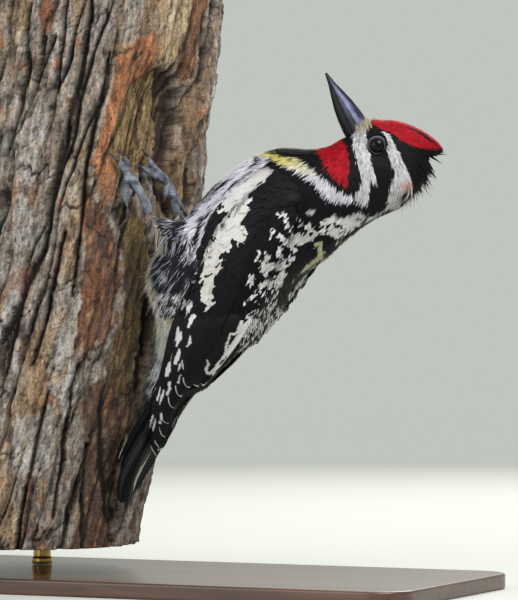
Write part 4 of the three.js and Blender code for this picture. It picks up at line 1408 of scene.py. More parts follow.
def plan_from(chosen, length, width, middle, tip, reach=0.84, wander=0.09, root_shade=0.7, **extra):
    """A plan for the chosen roots. Reach is how far along a tuft its colour is looked up."""
    plain = plain_roots[chosen]
    count = len(plain)
    shake = rng.normal(0, 1, (count, 5))
    length = length * (1 + 0.13 * shake[:, 0])
    lie = lie_at(plain)
    seen = plain + lie * ((reach + 0.05 * shake[:, 2]) * length)[:, None]
    plan = {
        "roots": roots[chosen],
        "outwards": root_normals[chosen],
        "ways": turn_ways(lie, twist_at(plain)) + wander * rng.normal(0, 1, (count, 3)),
        "length": length,
        "width": width * (1 + 0.14 * shake[:, 1]),
        "middle": np.broadcast_to(middle, count),
        "tip": tip * (1 + 0.2 * shake[:, 4]),
        "colours": np.clip(markings(seen) * (1 + 0.10 * shake[:, 3])[:, None], 0.002, 1),
        "root_shade": root_shade,
        "loose": 0.0,
        "lean": 0.45,
    }
    plan.update(extra)
    return plan


def plan_tufts(chosen):
    length, width, middle, tip, _ = tuft_plan(plain_roots[chosen], rng.random(len(chosen)))
    return plan_from(chosen, length, width * COARSE, middle, tip)


def spread(chosen, spacing):
    """Thins the chosen roots out to a wider spacing."""
    return chosen[thin_out(roots[chosen], np.full(len(chosen), spacing))]


# %% Grow the coat, piece by piece
narrow = np.flatnonzero(~bare & ~on_coverts & ~on_mantle)
order = narrow[np.argsort(unwrap(plain_roots[narrow])[:, 1])]
REGIONS = ["lower", "upper", "top"]
pieces = math.ceil(len(order) * len(tuft_faces(1)) / MOST_TRIANGLES)
for name, chosen in zip(REGIONS, np.array_split(order, pieces)):
    grow(f"coat_{name}", plan_tufts(chosen))

chosen = spread(np.flatnonzero(on_mantle), 0.62 * COARSE**0.5)
plan = plan_from(chosen, 4.6, 0.95, 0.85, 1.4, reach=0.86, lean=0.35)
grow("coat_mantle", plan, BLUNT)
pale_patch = inside(three_quarter(plain_roots + 5.0 * lie_at(plain_roots)), PATCH)
chosen = spread(np.flatnonzero(on_coverts & ~pale_patch), 1.15 * COARSE**0.5)
plan = plan_from(chosen, 7.0, 2.1, 1.15, 1.55, reach=0.80, wander=0.02, root_shade=0.85, lean=0.18)
on_flank = inside(three_quarter(plain_roots[chosen] + 5.6 * lie_at(plain_roots[chosen])), UNDERPARTS)
plan["colours"] = choose(on_flank, BLACK, plan["colours"])
grow("coat_coverts", plan, BROAD)
chosen = spread(np.flatnonzero(on_coverts & pale_patch), 1.0 * COARSE**0.5)
plan = plan_from(chosen, 11.0, 2.9, 1.25, 1.15, reach=0.72, wander=0.01, root_shade=1.0, lean=0.02)
pale = plan["colours"][:, 0] > 0.2  # evened out, so that the patch reads as one smooth field
evened = 0.45 * plan["colours"] + 0.55 * plan["colours"][pale].mean(axis=0)
plan["colours"] = np.clip(choose(pale, evened, plan["colours"]), 0, 0.68)
grow("coat_patch", plan, BROAD)

# %% Hairs that stand away
NAPE = [(57, 164), (65.5, 164), (69, 159), (69, 151), (60, 148.5), (56, 152), (58, 160)]
WISPY = [(-46, 139), (-28, 139), (-23, 128), (-22, 112), (-30, 98), (-46, 98)]
BRISTLES = [(33.5, 171), (34.5, 177), (42.5, 180), (42.5, 173), (40, 170.5)]
wide = np.abs(plain_roots[:, 1])

chosen = spread(np.flatnonzero(inside(side_roots, NAPE)), 1.4)
hair = rng.random(len(chosen))
plan = plan_from(chosen, 6.0 + 3.0 * hair, 1.0, 1.0, 1.2 + 3.2 * hair, wander=0.09, loose=0.75)
grow("hairs_nape", plan)
chosen = spread(np.flatnonzero(inside(side_roots, WISPY) & (wide > 3)), 1.9)
hair = rng.random(len(chosen))
plan = plan_from(chosen, 8.0 + 5.0 * hair, 0.34, 1.2, 1.5 + 2.2 * hair, wander=0.16, loose=0.45)
fluffy = inside(side_roots[chosen], FLUFF) | (side_roots[chosen, 1] < 112)
tone = choose(fluffy, CREAM, COOL)
plan["colours"] = choose(rng.random(len(chosen)) < 0.35 + 0.4 * fluffy, tone, SOOT)
grow("hairs_thigh", plan)
chosen = spread(np.flatnonzero(inside(side_roots, BRISTLES)), 0.5)
hair = rng.random(len(chosen))
plan = plan_from(chosen, 3.0 + 2.0 * hair, 0.26, 0.5, 0.6 + 0.5 * hair, wander=0.16, loose=0.9)
plan["ways"] = turn_ways(np.tile([-0.42, 0.0, 0.9], (len(chosen), 1)), np.full(len(chosen), HEAD_TURN))
plan["ways"] = plan["ways"] + 0.16 * rng.normal(0, 1, (len(chosen), 3))
tone = blend(BUFF, SOOT, rng.random(len(chosen)) ** 2)
plan["colours"] = blend(tone, WHITE, 0.4 * rng.random(len(chosen)))
grow("hairs_bill_root", plan)

skin = new_object("skin", skin_mesh)
skin_mesh.shade_smooth()
finish_piece(skin, PLUMAGE, FLESH)

# %% [markdown]
# ## The folded wing's surface
#
# The long feathers lie on the CAD wing. A table of the wing is measured once: for each height the
# leading and trailing edges, and how far out the wing stands between them. It is smoothed a
# little, so that the flat facets of the solid don't show in the feathers. The far wing is the
# near one mirrored, so one table serves both.

# %% Measure the wing
wing_tree = cad_tree("wing_left")
wing_points = mesh_points(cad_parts["wing_left"].data)
wing_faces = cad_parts["wing_left"].data.polygons
wing_top, wing_tip_z = wing_points[:, 2].max(), wing_points[:, 2].min()
LEVELS = np.linspace(wing_tip_z + 0.6, wing_top - 1.0, 90)
SHARES = np.linspace(0.04, 0.96, 15)


def edges_at(height):
    """Lowest and highest X of the wing at a height, from the triangles that cross it."""
    found = []
    for face in wing_faces:
        corners = wing_points[list(face.vertices)]
        above = corners[:, 2] > height
        if above.all() or not above.any():
            continue
        for start, end in zip(corners, np.roll(corners, -1, axis=0)):
            if (start[2] > height) != (end[2] > height):
                share = (height - start[2]) / (end[2] - start[2])
                found.append(start[0] + (end[0] - start[0]) * share)
    return min(found), max(found)


wing_edges = soften(np.array([edges_at(height) for height in LEVELS]), 4)
wing_out = np.empty((len(LEVELS), len(SHARES)))
for row, height in enumerate(LEVELS):
    start, end = wing_edges[row]
    for column, share in enumerate(SHARES):
        hit = wing_tree.ray_cast(Vector((start + (end - start) * share, -60, height)), Vector((0, 1, 0)))[0]
        wing_out[row, column] = -hit.y if hit is not None else np.nan
for row in wing_out:
    good = ~np.isnan(row)
    row[~good] = np.interp(SHARES[~good], SHARES[good], row[good])
wing_out = soften(soften(wing_out, 5).T, 1).T


def leading(z):
    return np.interp(z, LEVELS, wing_edges[:, 0])


def wing_width(z):
    return np.interp(z, LEVELS, wing_edges[:, 1] - wing_edges[:, 0])


# %% Look the wing's surface up
def wing_surface(inset, z):
    """How far out the wing stands, at distances in from its leading edge and at heights."""
    share = np.clip(inset / np.maximum(wing_width(z), 1.0), -0.15, 1.15)
    row = np.interp(z, LEVELS, np.arange(len(LEVELS)))
    return look_up(wing_out, row, np.interp(share, SHARES, np.arange(len(SHARES))))


print("wing from", round(wing_tip_z, 1), "to", round(wing_top, 1), "mm high")

# %% [markdown]
# ## Long feathers
#
# A long feather is a thin sheet with a shaft, a narrow outer and a broad inner web. It starts as a
# flat bmesh grid; a function that knows the feather's outline then puts each corner in place. A
# number for each corner says how far along its barb it lies, and the material draws the fine
# barbs from that. Each sheet gets its own strip of the bake map, so that no two share a place.

# %% Sheets of feather
SHEET = 0.10  # thickness in millimetres
BARB_PITCH = 0.42
ATLAS_GAP = 0.004


class FeatherSet:
    """Collects many feather sheets of one piece."""

    def __init__(self, name, count):
        self.name, self.count = name, count
        self.points, self.quads, self.colours, self.barbs, self.uv = [], [], [], [], []
        self.made, self.total = 0, 0

    def add(self, columns, rows, place):
        """Adds a sheet. place(across, along) gives its points, colours and barb numbers.
        Across runs from 0 at the outer edge to 1, and along from 0 at the root to 1 at the tip."""
        shape = bmesh.new()
        bmesh.ops.create_grid(shape, x_segments=columns, y_segments=rows, size=0.5)
        shape.verts.ensure_lookup_table()
        grid = np.array([vertex.co[:2] for vertex in shape.verts]) + 0.5
        faces = np.array([[vertex.index for vertex in face.verts] for face in shape.faces])
        shape.free()
        points, colours, barbs = place(grid[:, 0], grid[:, 1])
        per_row = math.ceil(math.sqrt(self.count * 3))
        lines = math.ceil(self.count / per_row)
        column, line = self.made % per_row, self.made // per_row
        size = np.array([1 / per_row, 1 / lines])
        corner = np.array([column, line]) * size
        self.points.append(points)
        self.colours.append(colours)
        self.barbs.append(barbs)
        self.quads.append(faces + self.total)
        self.uv.append(corner + ATLAS_GAP / 2 + grid * (size - ATLAS_GAP))
        self.made += 1
        self.total += len(points)

    def build(self, material, mirror=False):
        points = np.concatenate(self.points)
        quads = np.concatenate(self.quads)
        if mirror:  # the right wing is folded a little closer to the back
            z = points[:, 2]
            share = np.clip((points[:, 0] - leading(z)) / np.maximum(wing_width(z), 1), 0, 1)
            points[:, 0] -= far_drawn_in(z) * smooth_step(share, 0.2, 0.85)
            points = points * np.array([1, -1, 1])
            quads = quads[:, ::-1]
        mesh = bpy.data.meshes.new(self.name)
        mesh.from_pydata(((points + BIRD) * MM).tolist(), [], quads.tolist())
        mesh.shade_smooth()
        store_colours(mesh, np.concatenate(self.colours))
        barb = mesh.attributes.new("Barb", "FLOAT", "POINT")
        barb.data.foreach_set("value", np.concatenate(self.barbs).astype(np.float32))
        store_bake_map(mesh, np.concatenate(self.uv)[quads.ravel()])
        piece = new_object(self.name, mesh)
        solid = piece.modifiers.new("thickness", "SOLIDIFY")
        solid.thickness = SHEET * MM
        solid.offset = -1
        finish_piece(piece, material)
        print(self.name, self.made, "feathers,", len(quads), "quads")


# %% The finish of long feathers
def vane_material(name, roughness):
    """Feather sheets: the stored tint, darkened between fine slanting barbs."""
    material = paint(name, roughness, Sheen_Weight=0.01, Specular_IOR_Level=0.16)
    nodes, link = material.node_tree.nodes, material.node_tree.links.new
    barb, scaled, wave = [nodes.new(f"ShaderNode{kind}") for kind in ("Attribute", "Math", "Math")]
    barb.attribute_name = "Barb"
    scaled.operation, wave.operation = "MULTIPLY", "SINE"
    scaled.inputs[1].default_value = 2 * math.pi / BARB_PITCH
    link(barb.outputs["Fac"], scaled.inputs[0])
    link(scaled.outputs["Value"], wave.inputs[0])
    height = wave.outputs["Value"]
    shade = add_node(material, "MapRange", "Result", Value=height, From_Min=-1, To_Min=0.86, To_Max=1.06)
    bump = add_node(material, "Bump", "Normal", Strength=0.35, Distance=0.00012, Height=height)
    set_shader(material, Base_Color=add_product(material, add_tint(material), shade), Normal=bump)
    return material


VANES = vane_material("vanes", 0.5)


def tip_taper(along, start, power=2.0):
    """1 along the feather, rounding off to 0 at its tip."""
    return (1 - np.clip((along - start) / (1 - start), 0, 1) ** power) ** (1 / power)


# %% [markdown]
# ### Flight feathers of the wing
#
# In a folded wing the flight feathers slide over one another like a closed fan. Each shows only a
# narrow strip along its outer edge, the next feather inwards lies on top of the rest, and the
# tips step down towards the point of the wing. The strips carry rows of white spots.

# %% Primaries, secondaries and tertials
# For each feather that shows along the leading edge, outermost first: how far in from that edge
# its own outer edge lies, and the height of its tip.
PRIMARIES = [(-0.2, 51.4), (1.3, 53.6), (2.4, 58.6), (3.5, 63.8), (5.5, 69.8), (7.5, 74.1), (9.7, 77.5)]
SECONDARIES = [(11.9, 77.9), (13.8, 78.2), (15.5, 78.6), (17.2, 79.4)]
# For each feather along the trailing edge: how far in its middle lies, its tip's height, its width.
TERTIALS = [(2.2, 82.4, 7), (2.4, 88, 7), (3.4, 97.2, 6.5)]
FLIGHT_WIDTH = 6.4
SHOWN = 2.3  # the outer strip that the feather above leaves free
SHAFT = 0.28  # where the shaft runs across a flight feather
PRIMARY_ROOT_Z, SECONDARY_ROOT_Z, TERTIAL_ROOT_Z = 120.0, 124.0, 114.0
PALE_TIP = WHITE * 0.85


def feather_points(place_in, z, lift, from_shaft):
    """Points of a wing feather's sheet. Its root end dives under the coat."""
    place_in = np.clip(place_in, -0.4, wing_width(z) + 0.5)
    sink = 3.2 * smooth_step(z, 100.5, 112.5)
    ridge = 0.10 * np.exp(-((from_shaft / 0.35) ** 2))
    out = wing_surface(place_in, z) + lift + ridge - sink
    inner = smooth_step(place_in / np.maximum(wing_width(z), 1), 0.5, 1.0)
    return np.stack([leading(z) + place_in - 1.3 * sink * inner, -out, z], 1)


def flight_feather(inset, tip_z, root_z, lift, hook_length):
    """The shape and colours of one flight feather of the near wing."""
    width = FLIGHT_WIDTH

    def place(across, along):
        across = across**1.7  # the columns crowd towards the outer edge, the part that shows
        z = root_z + (tip_z - root_z) * along
        narrow = tip_taper(along, 0.88)
        from_shaft = (across - SHAFT) * width * narrow
        from_shaft = np.where(from_shaft > 0, from_shaft * tip_taper(along, 0.62, 1.5), from_shaft)
        sway = 0.5 * np.clip((along - 0.8) / 0.2, 0, 1) ** 2  # the tip bends inwards
        edge_drop = 0.10 * across * width + 0.20 * np.clip((0.10 - across) / 0.10, 0, 1) ** 2
        points = feather_points(inset + SHAFT * width + from_shaft + sway, z, lift - edge_drop, from_shaft)
        colours = wing_colours(points)
        colours = choose((across * width > SHOWN) | (z > 105.5), BLACK, colours)
        from_tip = (1 - along) * (root_z - tip_z)
        hook = (from_tip < 0.42) | ((across * width * narrow < 0.26) & (from_tip < hook_length))
        colours = choose(hook & (across < 0.62), PALE_TIP, colours)
        barbs = along * (root_z - tip_z) * 0.9 - np.abs(from_shaft) * 0.9
        return points, colours, barbs

    return place


def tertial(behind, tip_z, root_z, width, lift):
    """One of the broad innermost feathers, which follow the wing's trailing edge."""

    def place(across, along):
        z = root_z + (tip_z - root_z) * along
        narrow = tip_taper(along, 0.80)
        from_shaft = (across - 0.5) * width * narrow
        points = feather_points(wing_width(z) - behind + from_shaft, z, lift, from_shaft)
        barbs = along * (root_z - tip_z) * 0.9 - np.abs(from_shaft) * 0.9
        drops = noise(np.stack([from_shaft / 1.6, 0 * z, z / 5.5], 1), 1, 16) > 0.36
        inner_web = (from_shaft > 0.7) & (from_shaft < width * 0.5 - 0.35) & (z < 103) & drops
        colours = choose(inner_web & (along < 0.95), PALE_TIP, wing_colours(points))
        return points, choose(z > 104.5, BLACK, colours), barbs

    return place


# %% Lay both wings
def build_wing(side):
    count = len(PRIMARIES) + len(SECONDARIES) + len(TERTIALS)
    feathers = FeatherSet(f"flight_feathers_{side}", count)
    columns, rows = ((13, 110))
    for inset, tip_z in PRIMARIES:
        feathers.add(columns, rows, flight_feather(inset, tip_z, PRIMARY_ROOT_Z, 0.25, 4.2))
    for inset, tip_z in SECONDARIES:
        feathers.add(columns, rows, flight_feather(inset, tip_z, SECONDARY_ROOT_Z, 0.40, 1.0))
    for index, (behind, tip_z, width) in enumerate(TERTIALS):
        feathers.add(columns + 5, rows, tertial(behind, tip_z, TERTIAL_ROOT_Z, width, 0.60 + 0.14 * index))
    feathers.build(VANES, side == "right")


for side in ("left", "right"):
    build_wing(side)

# %% [markdown]
# ### Tail
#
# The tail is a prop. Its stiff feathers end in points that press on the bark, and they overlap
# from the sides towards the middle pair, which lies on top and is the longest.

# %% Tail feathers
TAIL_PAIRS = 6
tail_tree = cad_tree("tail")
TAIL_MIDDLE_Y = -0.8
tail_steps = np.linspace(0.12, 0.98, 40)
tail_rise = []
for step in tail_steps:
    spot = TAIL_ROOT + tail_way * tail_length * step
    start = Vector((spot[0] + 30 * tail_up[0], TAIL_MIDDLE_Y, spot[1] + 30 * tail_up[1]))
    hit = tail_tree.ray_cast(start, Vector((-tail_up[0], 0, -tail_up[1])))[0]
    tail_rise.append(30 - (hit - start).length if hit is not None else np.nan)
tail_rise = np.array(tail_rise)
good = ~np.isnan(tail_rise)
tail_rise = soften(np.interp(tail_steps, tail_steps[good], tail_rise[good])[:, None], 6)[:, 0]


def tail_feather(pair, side):
    """One tail feather. The middle pair is number 0."""
    span = 1.05 - 0.036 * pair - 0.006 * pair**2
    offset = side * (1.7 + 2.0 * pair)
    width = 5.6 - 0.12 * pair

    def place(across, along):
        step = 0.02 + (span - 0.02) * along
        narrow = tip_taper(along, 0.50, 1.15) * (1 - 0.15 * along)
        from_shaft = (across - 0.5) * width * narrow
        fan = 1 - 0.62 * smooth_step(step, 0.62, 1.05)
        y = TAIL_MIDDLE_Y + offset * fan * (0.7 + 0.3 * step) + from_shaft
        rise = np.interp(step, tail_steps, tail_rise)
        droop = 0.020 + 0.008 * smooth_step(1 - step, 0.05, 0.35)
        sag = droop * (y - TAIL_MIDDLE_Y) ** 2 + 0.36 * pair + 0.05 * side
        lift = 0.25 - sag - 0.06 * np.abs(from_shaft) + 0.10 * np.exp(-((from_shaft / 0.35) ** 2))
        lift = lift + 1.3 * smooth_step(step, 0.78, 1.02)  # the points slide over the bark
        spot = TAIL_ROOT + step[:, None] * tail_length * tail_way + (rise + lift)[:, None] * tail_up
        points = np.stack([spot[:, 0], y, spot[:, 1]], 1)
        colours = np.tile(BLACK, (len(y), 1))
        streak = 3.0 * smooth_step(step, 0.55, 0.72) * smooth_step(1 - step, 0.03, 0.24)
        frayed = 0.5 * (noise(points * np.array([1, 0, 3]), 0.9, 14) - 0.5)
        streaked = (np.abs(y - TAIL_MIDDLE_Y - 3.2) < streak + frayed) & (streak > 0.2)
        green = blend(linear((212, 217, 200)), linear((150, 160, 138)), noise(points, 1.6, 15))
        colours = choose(streaked, green, colours)
        rim = (side * from_shaft > width * narrow * 0.5 - 0.2) & (pair == TAIL_PAIRS - 1)
        colours = choose(rim & (along > 0.70) & (along < 0.92) & (side < 0), linear((150, 146, 128)), colours)
        colours = choose(rim & (along > 0.1) & (along < 0.80) & (side > 0), linear((118, 108, 84)), colours)
        barbs = along * tail_length * span - np.abs(from_shaft) * 1.0
        return points, colours, barbs

    return place


tail = FeatherSet("tail_feathers", TAIL_PAIRS * 2)
for pair in reversed(range(TAIL_PAIRS)):
    for side in (1, -1):
        tail.add(10, 80, tail_feather(pair, side))
tail.build(VANES)

# %% [markdown]
# ## Bill
#
# A woodpecker's bill is a chisel: a deep upper half with a sharp ridge on top and a second ridge
# along each side, and a lower half that fits under it. Each half is lofted from rings. A ring
# starts as a bmesh circle, is pulled into the section of the bill at that place, and neighbouring
# rings are bridged. The root end runs a little way into the head, under the feathers.

# %% Loft the two halves of the bill
BILL_ROOT = np.array([38.8, 0.0, 175.1])
BILL_TIP = np.array([28.1, 0.0, 194.7])
BILL_DEPTH = [5.0, 4.6, 3.85, 2.65, 1.35, 0.45]  # half the depth, from root to tip
BILL_WIDTH = [4.3, 3.9, 3.1, 2.2, 1.3, 0.45]  # half the width
GAPE_DROP = 0.30  # the line between the halves lies this share of the half depth below the middle
bill_way = (BILL_TIP - BILL_ROOT) / np.linalg.norm(BILL_TIP - BILL_ROOT)
bill_up = np.array([bill_way[2], 0.0, -bill_way[0]])
bill_length = np.linalg.norm(BILL_TIP - BILL_ROOT)


def bill_section(along, around, upper):
    """A point of the bill's surface."""
    steps = np.linspace(0, 1, len(BILL_DEPTH))
    depth = np.interp(np.clip(along, 0, 1), steps, BILL_DEPTH)
    width = np.interp(np.clip(along, 0, 1), steps, BILL_WIDTH)
    height, side = np.cos(around), np.sin(around)
    if upper:
        rise = np.where(height > 0, (1 + GAPE_DROP) * height, 0.16 * height)
        ridge = 1 - 0.42 * np.clip(height, 0, 1) ** 1.5 + 0.12 * np.exp(-(((height - 0.42) / 0.13) ** 2))
        groove = 0.10 * np.exp(-(((height - 0.25) / 0.10) ** 2)) * (along < 0.55)
        side = side * (ridge - groove)
    else:
        rise = np.where(height < 0, (1 - GAPE_DROP) * height, 0.05 * height)
        side = side * 0.93
    centre = BILL_ROOT + bill_way * along * bill_length - bill_up * depth * GAPE_DROP
    return centre + bill_up * rise * depth + np.array([0, 1.0, 0]) * side * width


# %% Loft one half
def build_bill_half(name, upper):
    shape = bmesh.new()
    rings = []
    stations = np.concatenate([[-0.16, -0.08], np.linspace(0, 1, 30)])
    for along in stations:
        ring = bmesh.ops.create_circle(shape, segments=40, radius=1)["verts"]
        for index, vertex in enumerate(ring):
            around = 2 * math.pi * index / len(ring)
            vertex.co = Vector(bill_section(along, around, upper))
        rings.append(ring)
    edges = [{edge for vertex in ring for edge in vertex.link_edges} for ring in rings]
    for first, second in zip(edges[:-1], edges[1:]):
        bmesh.ops.bridge_loops(shape, edges=list(first | second))
    bmesh.ops.holes_fill(shape, edges=[edge for edge in shape.edges if edge.is_boundary], sides=0)
    bmesh.ops.recalc_face_normals(shape, faces=shape.faces)
    mesh = mesh_from(shape, name)
    plain = read_rows(mesh.vertices, "co")
    place = plain - BILL_ROOT
    along = place @ bill_way / bill_length
    up = place @ bill_up / np.interp(np.clip(along, 0, 1), np.linspace(0, 1, 6), BILL_DEPTH)
    streak = rough_noise(np.stack([along * 5, up * 7, plain[:, 1] * 2], 1), 1.0, 3, 90)
    if upper:
        # Painted highlight: a pale blue-grey stripe along the side plane of the upper half.
        flank = np.exp(-(((up - 0.46 + 0.25 * along) / 0.24) ** 2)) * smooth_step(1 - along, 0.04, 0.3)
        colours = blend(linear((14, 14, 19)), linear((36, 38, 54)), np.clip(0.5 + 0.6 * streak, 0, 1))
        colours = blend(colours, linear((122, 126, 166)), np.clip(flank * (0.62 + 1.3 * streak), 0, 0.85))
    else:
        colours = blend(linear((9, 9, 11)), linear((22, 23, 27)), np.clip(0.4 + 0.6 * streak, 0, 1))
    colours = blend(colours, linear((22, 22, 24)), 0.8 * smooth_step(along, 0.86, 0.99))
    store_colours(mesh, colours)
    set_mesh_points(mesh, turn_about_neck(plain, np.full(len(plain), HEAD_TURN)))
    mesh.shade_smooth()
    return new_object(name, mesh)


# %% Horn
def horn_material():
    """Horn with a fine grain that varies its shine and gives small bumps."""
    material = paint("horn", 0.34, Coat_Weight=0.04, Coat_Roughness=0.2, Specular_IOR_Level=0.18)
    place = add_node(material, "TexCoord", "Object")
    grain = add_node(material, "TexNoise", "Fac", Vector=place, Scale=1400)
    shine = add_node(material, "MapRange", "Result", Value=grain, To_Min=0.24, To_Max=0.44)
    bump = add_node(material, "Bump", "Normal", Strength=0.25, Distance=0.0001, Height=grain)
    set_shader(material, Base_Color=add_tint(material), Roughness=shine, Normal=bump)
    return material


HORN = horn_material()
finish_piece(build_bill_half("bill_top", True), HORN, ["bill_upper"])
finish_piece(build_bill_half("bill_bottom", False), HORN, ["bill_lower"])
print("bill", round(bill_length, 1), "mm")

# %% [markdown]
# ## Eyes and lids
#
# The eye is a dark ball with a wide pupil, set so deep that only a round window of it shows. The
# bare lids form a grey ring round that window. The ball is a bmesh sphere with its pole on the
# line of sight, coloured by the angle from the pole. The ring is a small flat ellipse spun once
# round the same line.

# %% Eyes
EYE_RADIUS = 3.5
LID_INNER, LID_OUTER = 2.72, 3.72
SIGHT = {"left": unit(np.array([-0.10, -1.0, -0.08])), "right": unit(np.array([-0.10, 1.0, -0.08]))}


def spin_closed(shape, profile, steps, merge):
    """Spins a profile once round Z, merges its seam, and turns all faces outwards."""
    bmesh.ops.spin(
        shape, geom=profile, axis=(0, 0, 1), cent=(0, 0, 0), angle=2 * math.pi, steps=steps, use_merge=True
    )
    bmesh.ops.remove_doubles(shape, verts=shape.verts, dist=merge)
    bmesh.ops.recalc_face_normals(shape, faces=shape.faces)


def eye_frame(side):
    """The matrix that puts a shape made round Z onto the line of sight of the turned head."""
    centre = node_centre(f"eye_{side}") - BIRD
    sight = turn_ways(SIGHT[side][None], np.array([HEAD_TURN]))[0]
    turn = Vector((0, 0, 1)).rotation_difference(Vector(sight)).to_matrix().to_4x4()
    return Matrix.Translation(Vector(centre)) @ turn


def set_in_head(mesh, local, colours, side):
    """Stores the colours, and moves a mesh that was made round Z onto the line of sight."""
    store_colours(mesh, colours)
    matrix = np.array(eye_frame(side))
    set_mesh_points(mesh, local @ matrix[:3, :3].T + matrix[:3, 3])
    mesh.shade_smooth()
    return new_object(mesh.name, mesh)


def build_eye(side):
    shape = bmesh.new()
    bmesh.ops.create_uvsphere(shape, u_segments=48, v_segments=32, radius=EYE_RADIUS)
    mesh = mesh_from(shape, f"eyeball_{side}")
    local = read_rows(mesh.vertices, "co")
    from_axis = np.linalg.norm(local[:, :2], axis=1) + 9 * (local[:, 2] < 0)
    spokes = 0.5 + 0.5 * np.sin(np.arctan2(local[:, 1], local[:, 0]) * 24)
    iris = blend(linear((14, 10, 10)), linear((22, 15, 13)), spokes)
    colours = blend(linear((4, 4, 5)), iris, smooth_step(from_axis, 1.45, 1.75))
    colours = blend(colours, linear((12, 10, 11)), smooth_step(from_axis, 2.4, 2.7))
    return set_in_head(mesh, local, colours, side)


# %% Lids
def build_lids(side):
    """The bare ring round the eye, with fine folds."""
    shape = bmesh.new()
    middle, half = (LID_INNER + LID_OUTER) / 2, (LID_OUTER - LID_INNER) / 2
    ring = bmesh.ops.create_circle(shape, segments=14, radius=1)["verts"]
    for vertex in ring:
        across, up = vertex.co.x, vertex.co.y
        vertex.co = Vector((middle + across * half, 0, 2.12 - 0.42 * across + up * 0.34))
    spin_closed(shape, ring + list(shape.edges), 96, 1e-4)
    for vertex in shape.verts:
        turn = math.atan2(vertex.co.y, vertex.co.x)
        reach = math.hypot(vertex.co.x, vertex.co.y)
        fold = 0.035 * math.sin(turn * 31) * smooth_step(reach, LID_INNER + 0.15, LID_OUTER - 0.2)
        vertex.co *= 1 + fold / 3
    mesh = mesh_from(shape, f"lids_{side}")
    local = read_rows(mesh.vertices, "co")
    reach = np.linalg.norm(local[:, :2], axis=1)
    rims = 0.45 * np.exp(-(((reach - LID_INNER - 0.12) / 0.14) ** 2))
    rims += np.exp(-(((reach - LID_OUTER + 0.18) / 0.16) ** 2))
    colours = blend(linear((20, 21, 25)), linear((112, 115, 128)), np.clip(rims, 0, 1))
    return set_in_head(mesh, local, colours, side)


EYE_GLOSS = paint("eye", 0.05, Specular_IOR_Level=0.16)
set_shader(EYE_GLOSS, Base_Color=add_tint(EYE_GLOSS))
SKIN_BARE = feather_material("bare_skin", 0.5, 0.0)
for side in ("left", "right"):
    finish_piece(build_eye(side), EYE_GLOSS, [f"eye_{side}"])
    finish_piece(build_lids(side), SKIN_BARE)
print("two eyes and their lids")

# %% [markdown]
# ## Feet
#
# A climbing bird's toes are covered with plates, one behind another like roof tiles. The toes and
# the shanks are welded into one fine skin, which is then raised and lowered in steps along each
# toe. The lower side has small pads instead. Claws are welded copies of the CAD claws, so that
# their facets disappear.

# %% Feet and claws
TOES = [f"toe_{side}_{number}" for side in ("left", "right") for number in (1, 2, 3, 4)]
SHANKS = ["tarsus_left", "tarsus_right"]
CLAWS = [f"claw_{side}_{number}" for side in ("left", "right") for number in (1, 2, 3, 4)]
PLATE_PITCH = 1.15

foot_mesh = weld(TOES + SHANKS, 0.12, 0.27, 3)
foot_points = mesh_points(foot_mesh)
foot_normals = mesh_normals(foot_mesh)
nearest = np.full(len(foot_points), 1e9)
along_toe = np.zeros(len(foot_points))
for name in TOES + SHANKS:
    corners = np.unique(mesh_points(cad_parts[name].data).round(3), axis=0)
    centre = corners.mean(0)
    axis = np.linalg.svd(corners - centre)[2][0]
    reach = (foot_points - centre) @ axis
    span = (corners - centre) @ axis
    line = centre + np.clip(reach, span.min(), span.max())[:, None] * axis
    away = np.linalg.norm(foot_points - line, axis=1)
    closer = away < nearest
    nearest = np.where(closer, away, nearest)
    along_toe = np.where(closer, reach, along_toe)
trunk_axis = trunk_foot + (trunk_head - trunk_foot) * 0.65
outward = unit((foot_points - trunk_axis) * np.array([1, 1, 0]))
top_side = smooth_step((foot_normals * outward).sum(1), -0.35, 0.25)
phase = along_toe / PLATE_PITCH
plate_step = phase - np.floor(phase)
plate = smooth_step(plate_step, 0.0, 0.22) * (1 - 0.55 * plate_step)
pads = noise(foot_points, 0.6, 77)
knobs = rough_noise(foot_points, 1.8, 3, 73)
relief = top_side * (0.13 * plate - 0.10) + (1 - top_side) * (0.16 * pads - 0.10) + 0.16 * knobs
set_mesh_points(foot_mesh, foot_points + foot_normals * relief[:, None])
groove = 1 - smooth_step(plate_step, 0.0, 0.26)
dusky = np.clip(1.5 * noise(foot_points, 1.7, 71) - 0.2, 0, 1)
tone = blend(linear((132, 137, 148)), linear((66, 70, 79)), dusky)
# Painted shade: the groove at the foot of each plate is darkened; on the lower side the pads are darkened
# too.
groove_shade_and_pads = np.clip(0.75 * groove * top_side + 0.5 * (1 - top_side) * pads, 0, 0.8)
tone = blend(tone, linear((40, 42, 48)), groove_shade_and_pads)
store_colours(foot_mesh, tone)
foot_mesh.shade_smooth()
foot = new_object("feet", foot_mesh)
LEG_SCALES = feather_material("leg_scales", 0.42, 0.0)
finish_piece(foot, LEG_SCALES, TOES + SHANKS)

claw_mesh = weld(CLAWS, 0.05, 0.16, 2)
claw_points = mesh_points(claw_mesh)
claw_tone = blend(linear((40, 38, 40)), linear((84, 80, 80)), noise(claw_points, 0.9, 81))
store_colours(claw_mesh, claw_tone)
claw_mesh.shade_smooth()
finish_piece(new_object("claws", claw_mesh), HORN, CLAWS)
print("feet", len(foot_points), "points, claws", len(claw_points))

# %% [markdown]
# ## Stand
#
# The base is a slab of dark varnished wood with rounded corners, and two short brass rods hold the
# trunk off it. The slab is a cube, scaled, with its four upright edges bevelled to round corners
# and its rims bevelled finely, which catches a thin line of light. Each rod has a collar at both ends.

# %% Base and rods
BASE_LOW, BASE_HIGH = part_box("stand_base")
CORNER, RIM = 14.0, 1.0


def bevel(shape, edges, width, segments):
    bmesh.ops.bevel(
        shape, geom=edges, offset=width * MM, affect="EDGES", segments=segments, profile=0.5, material=-1
    )


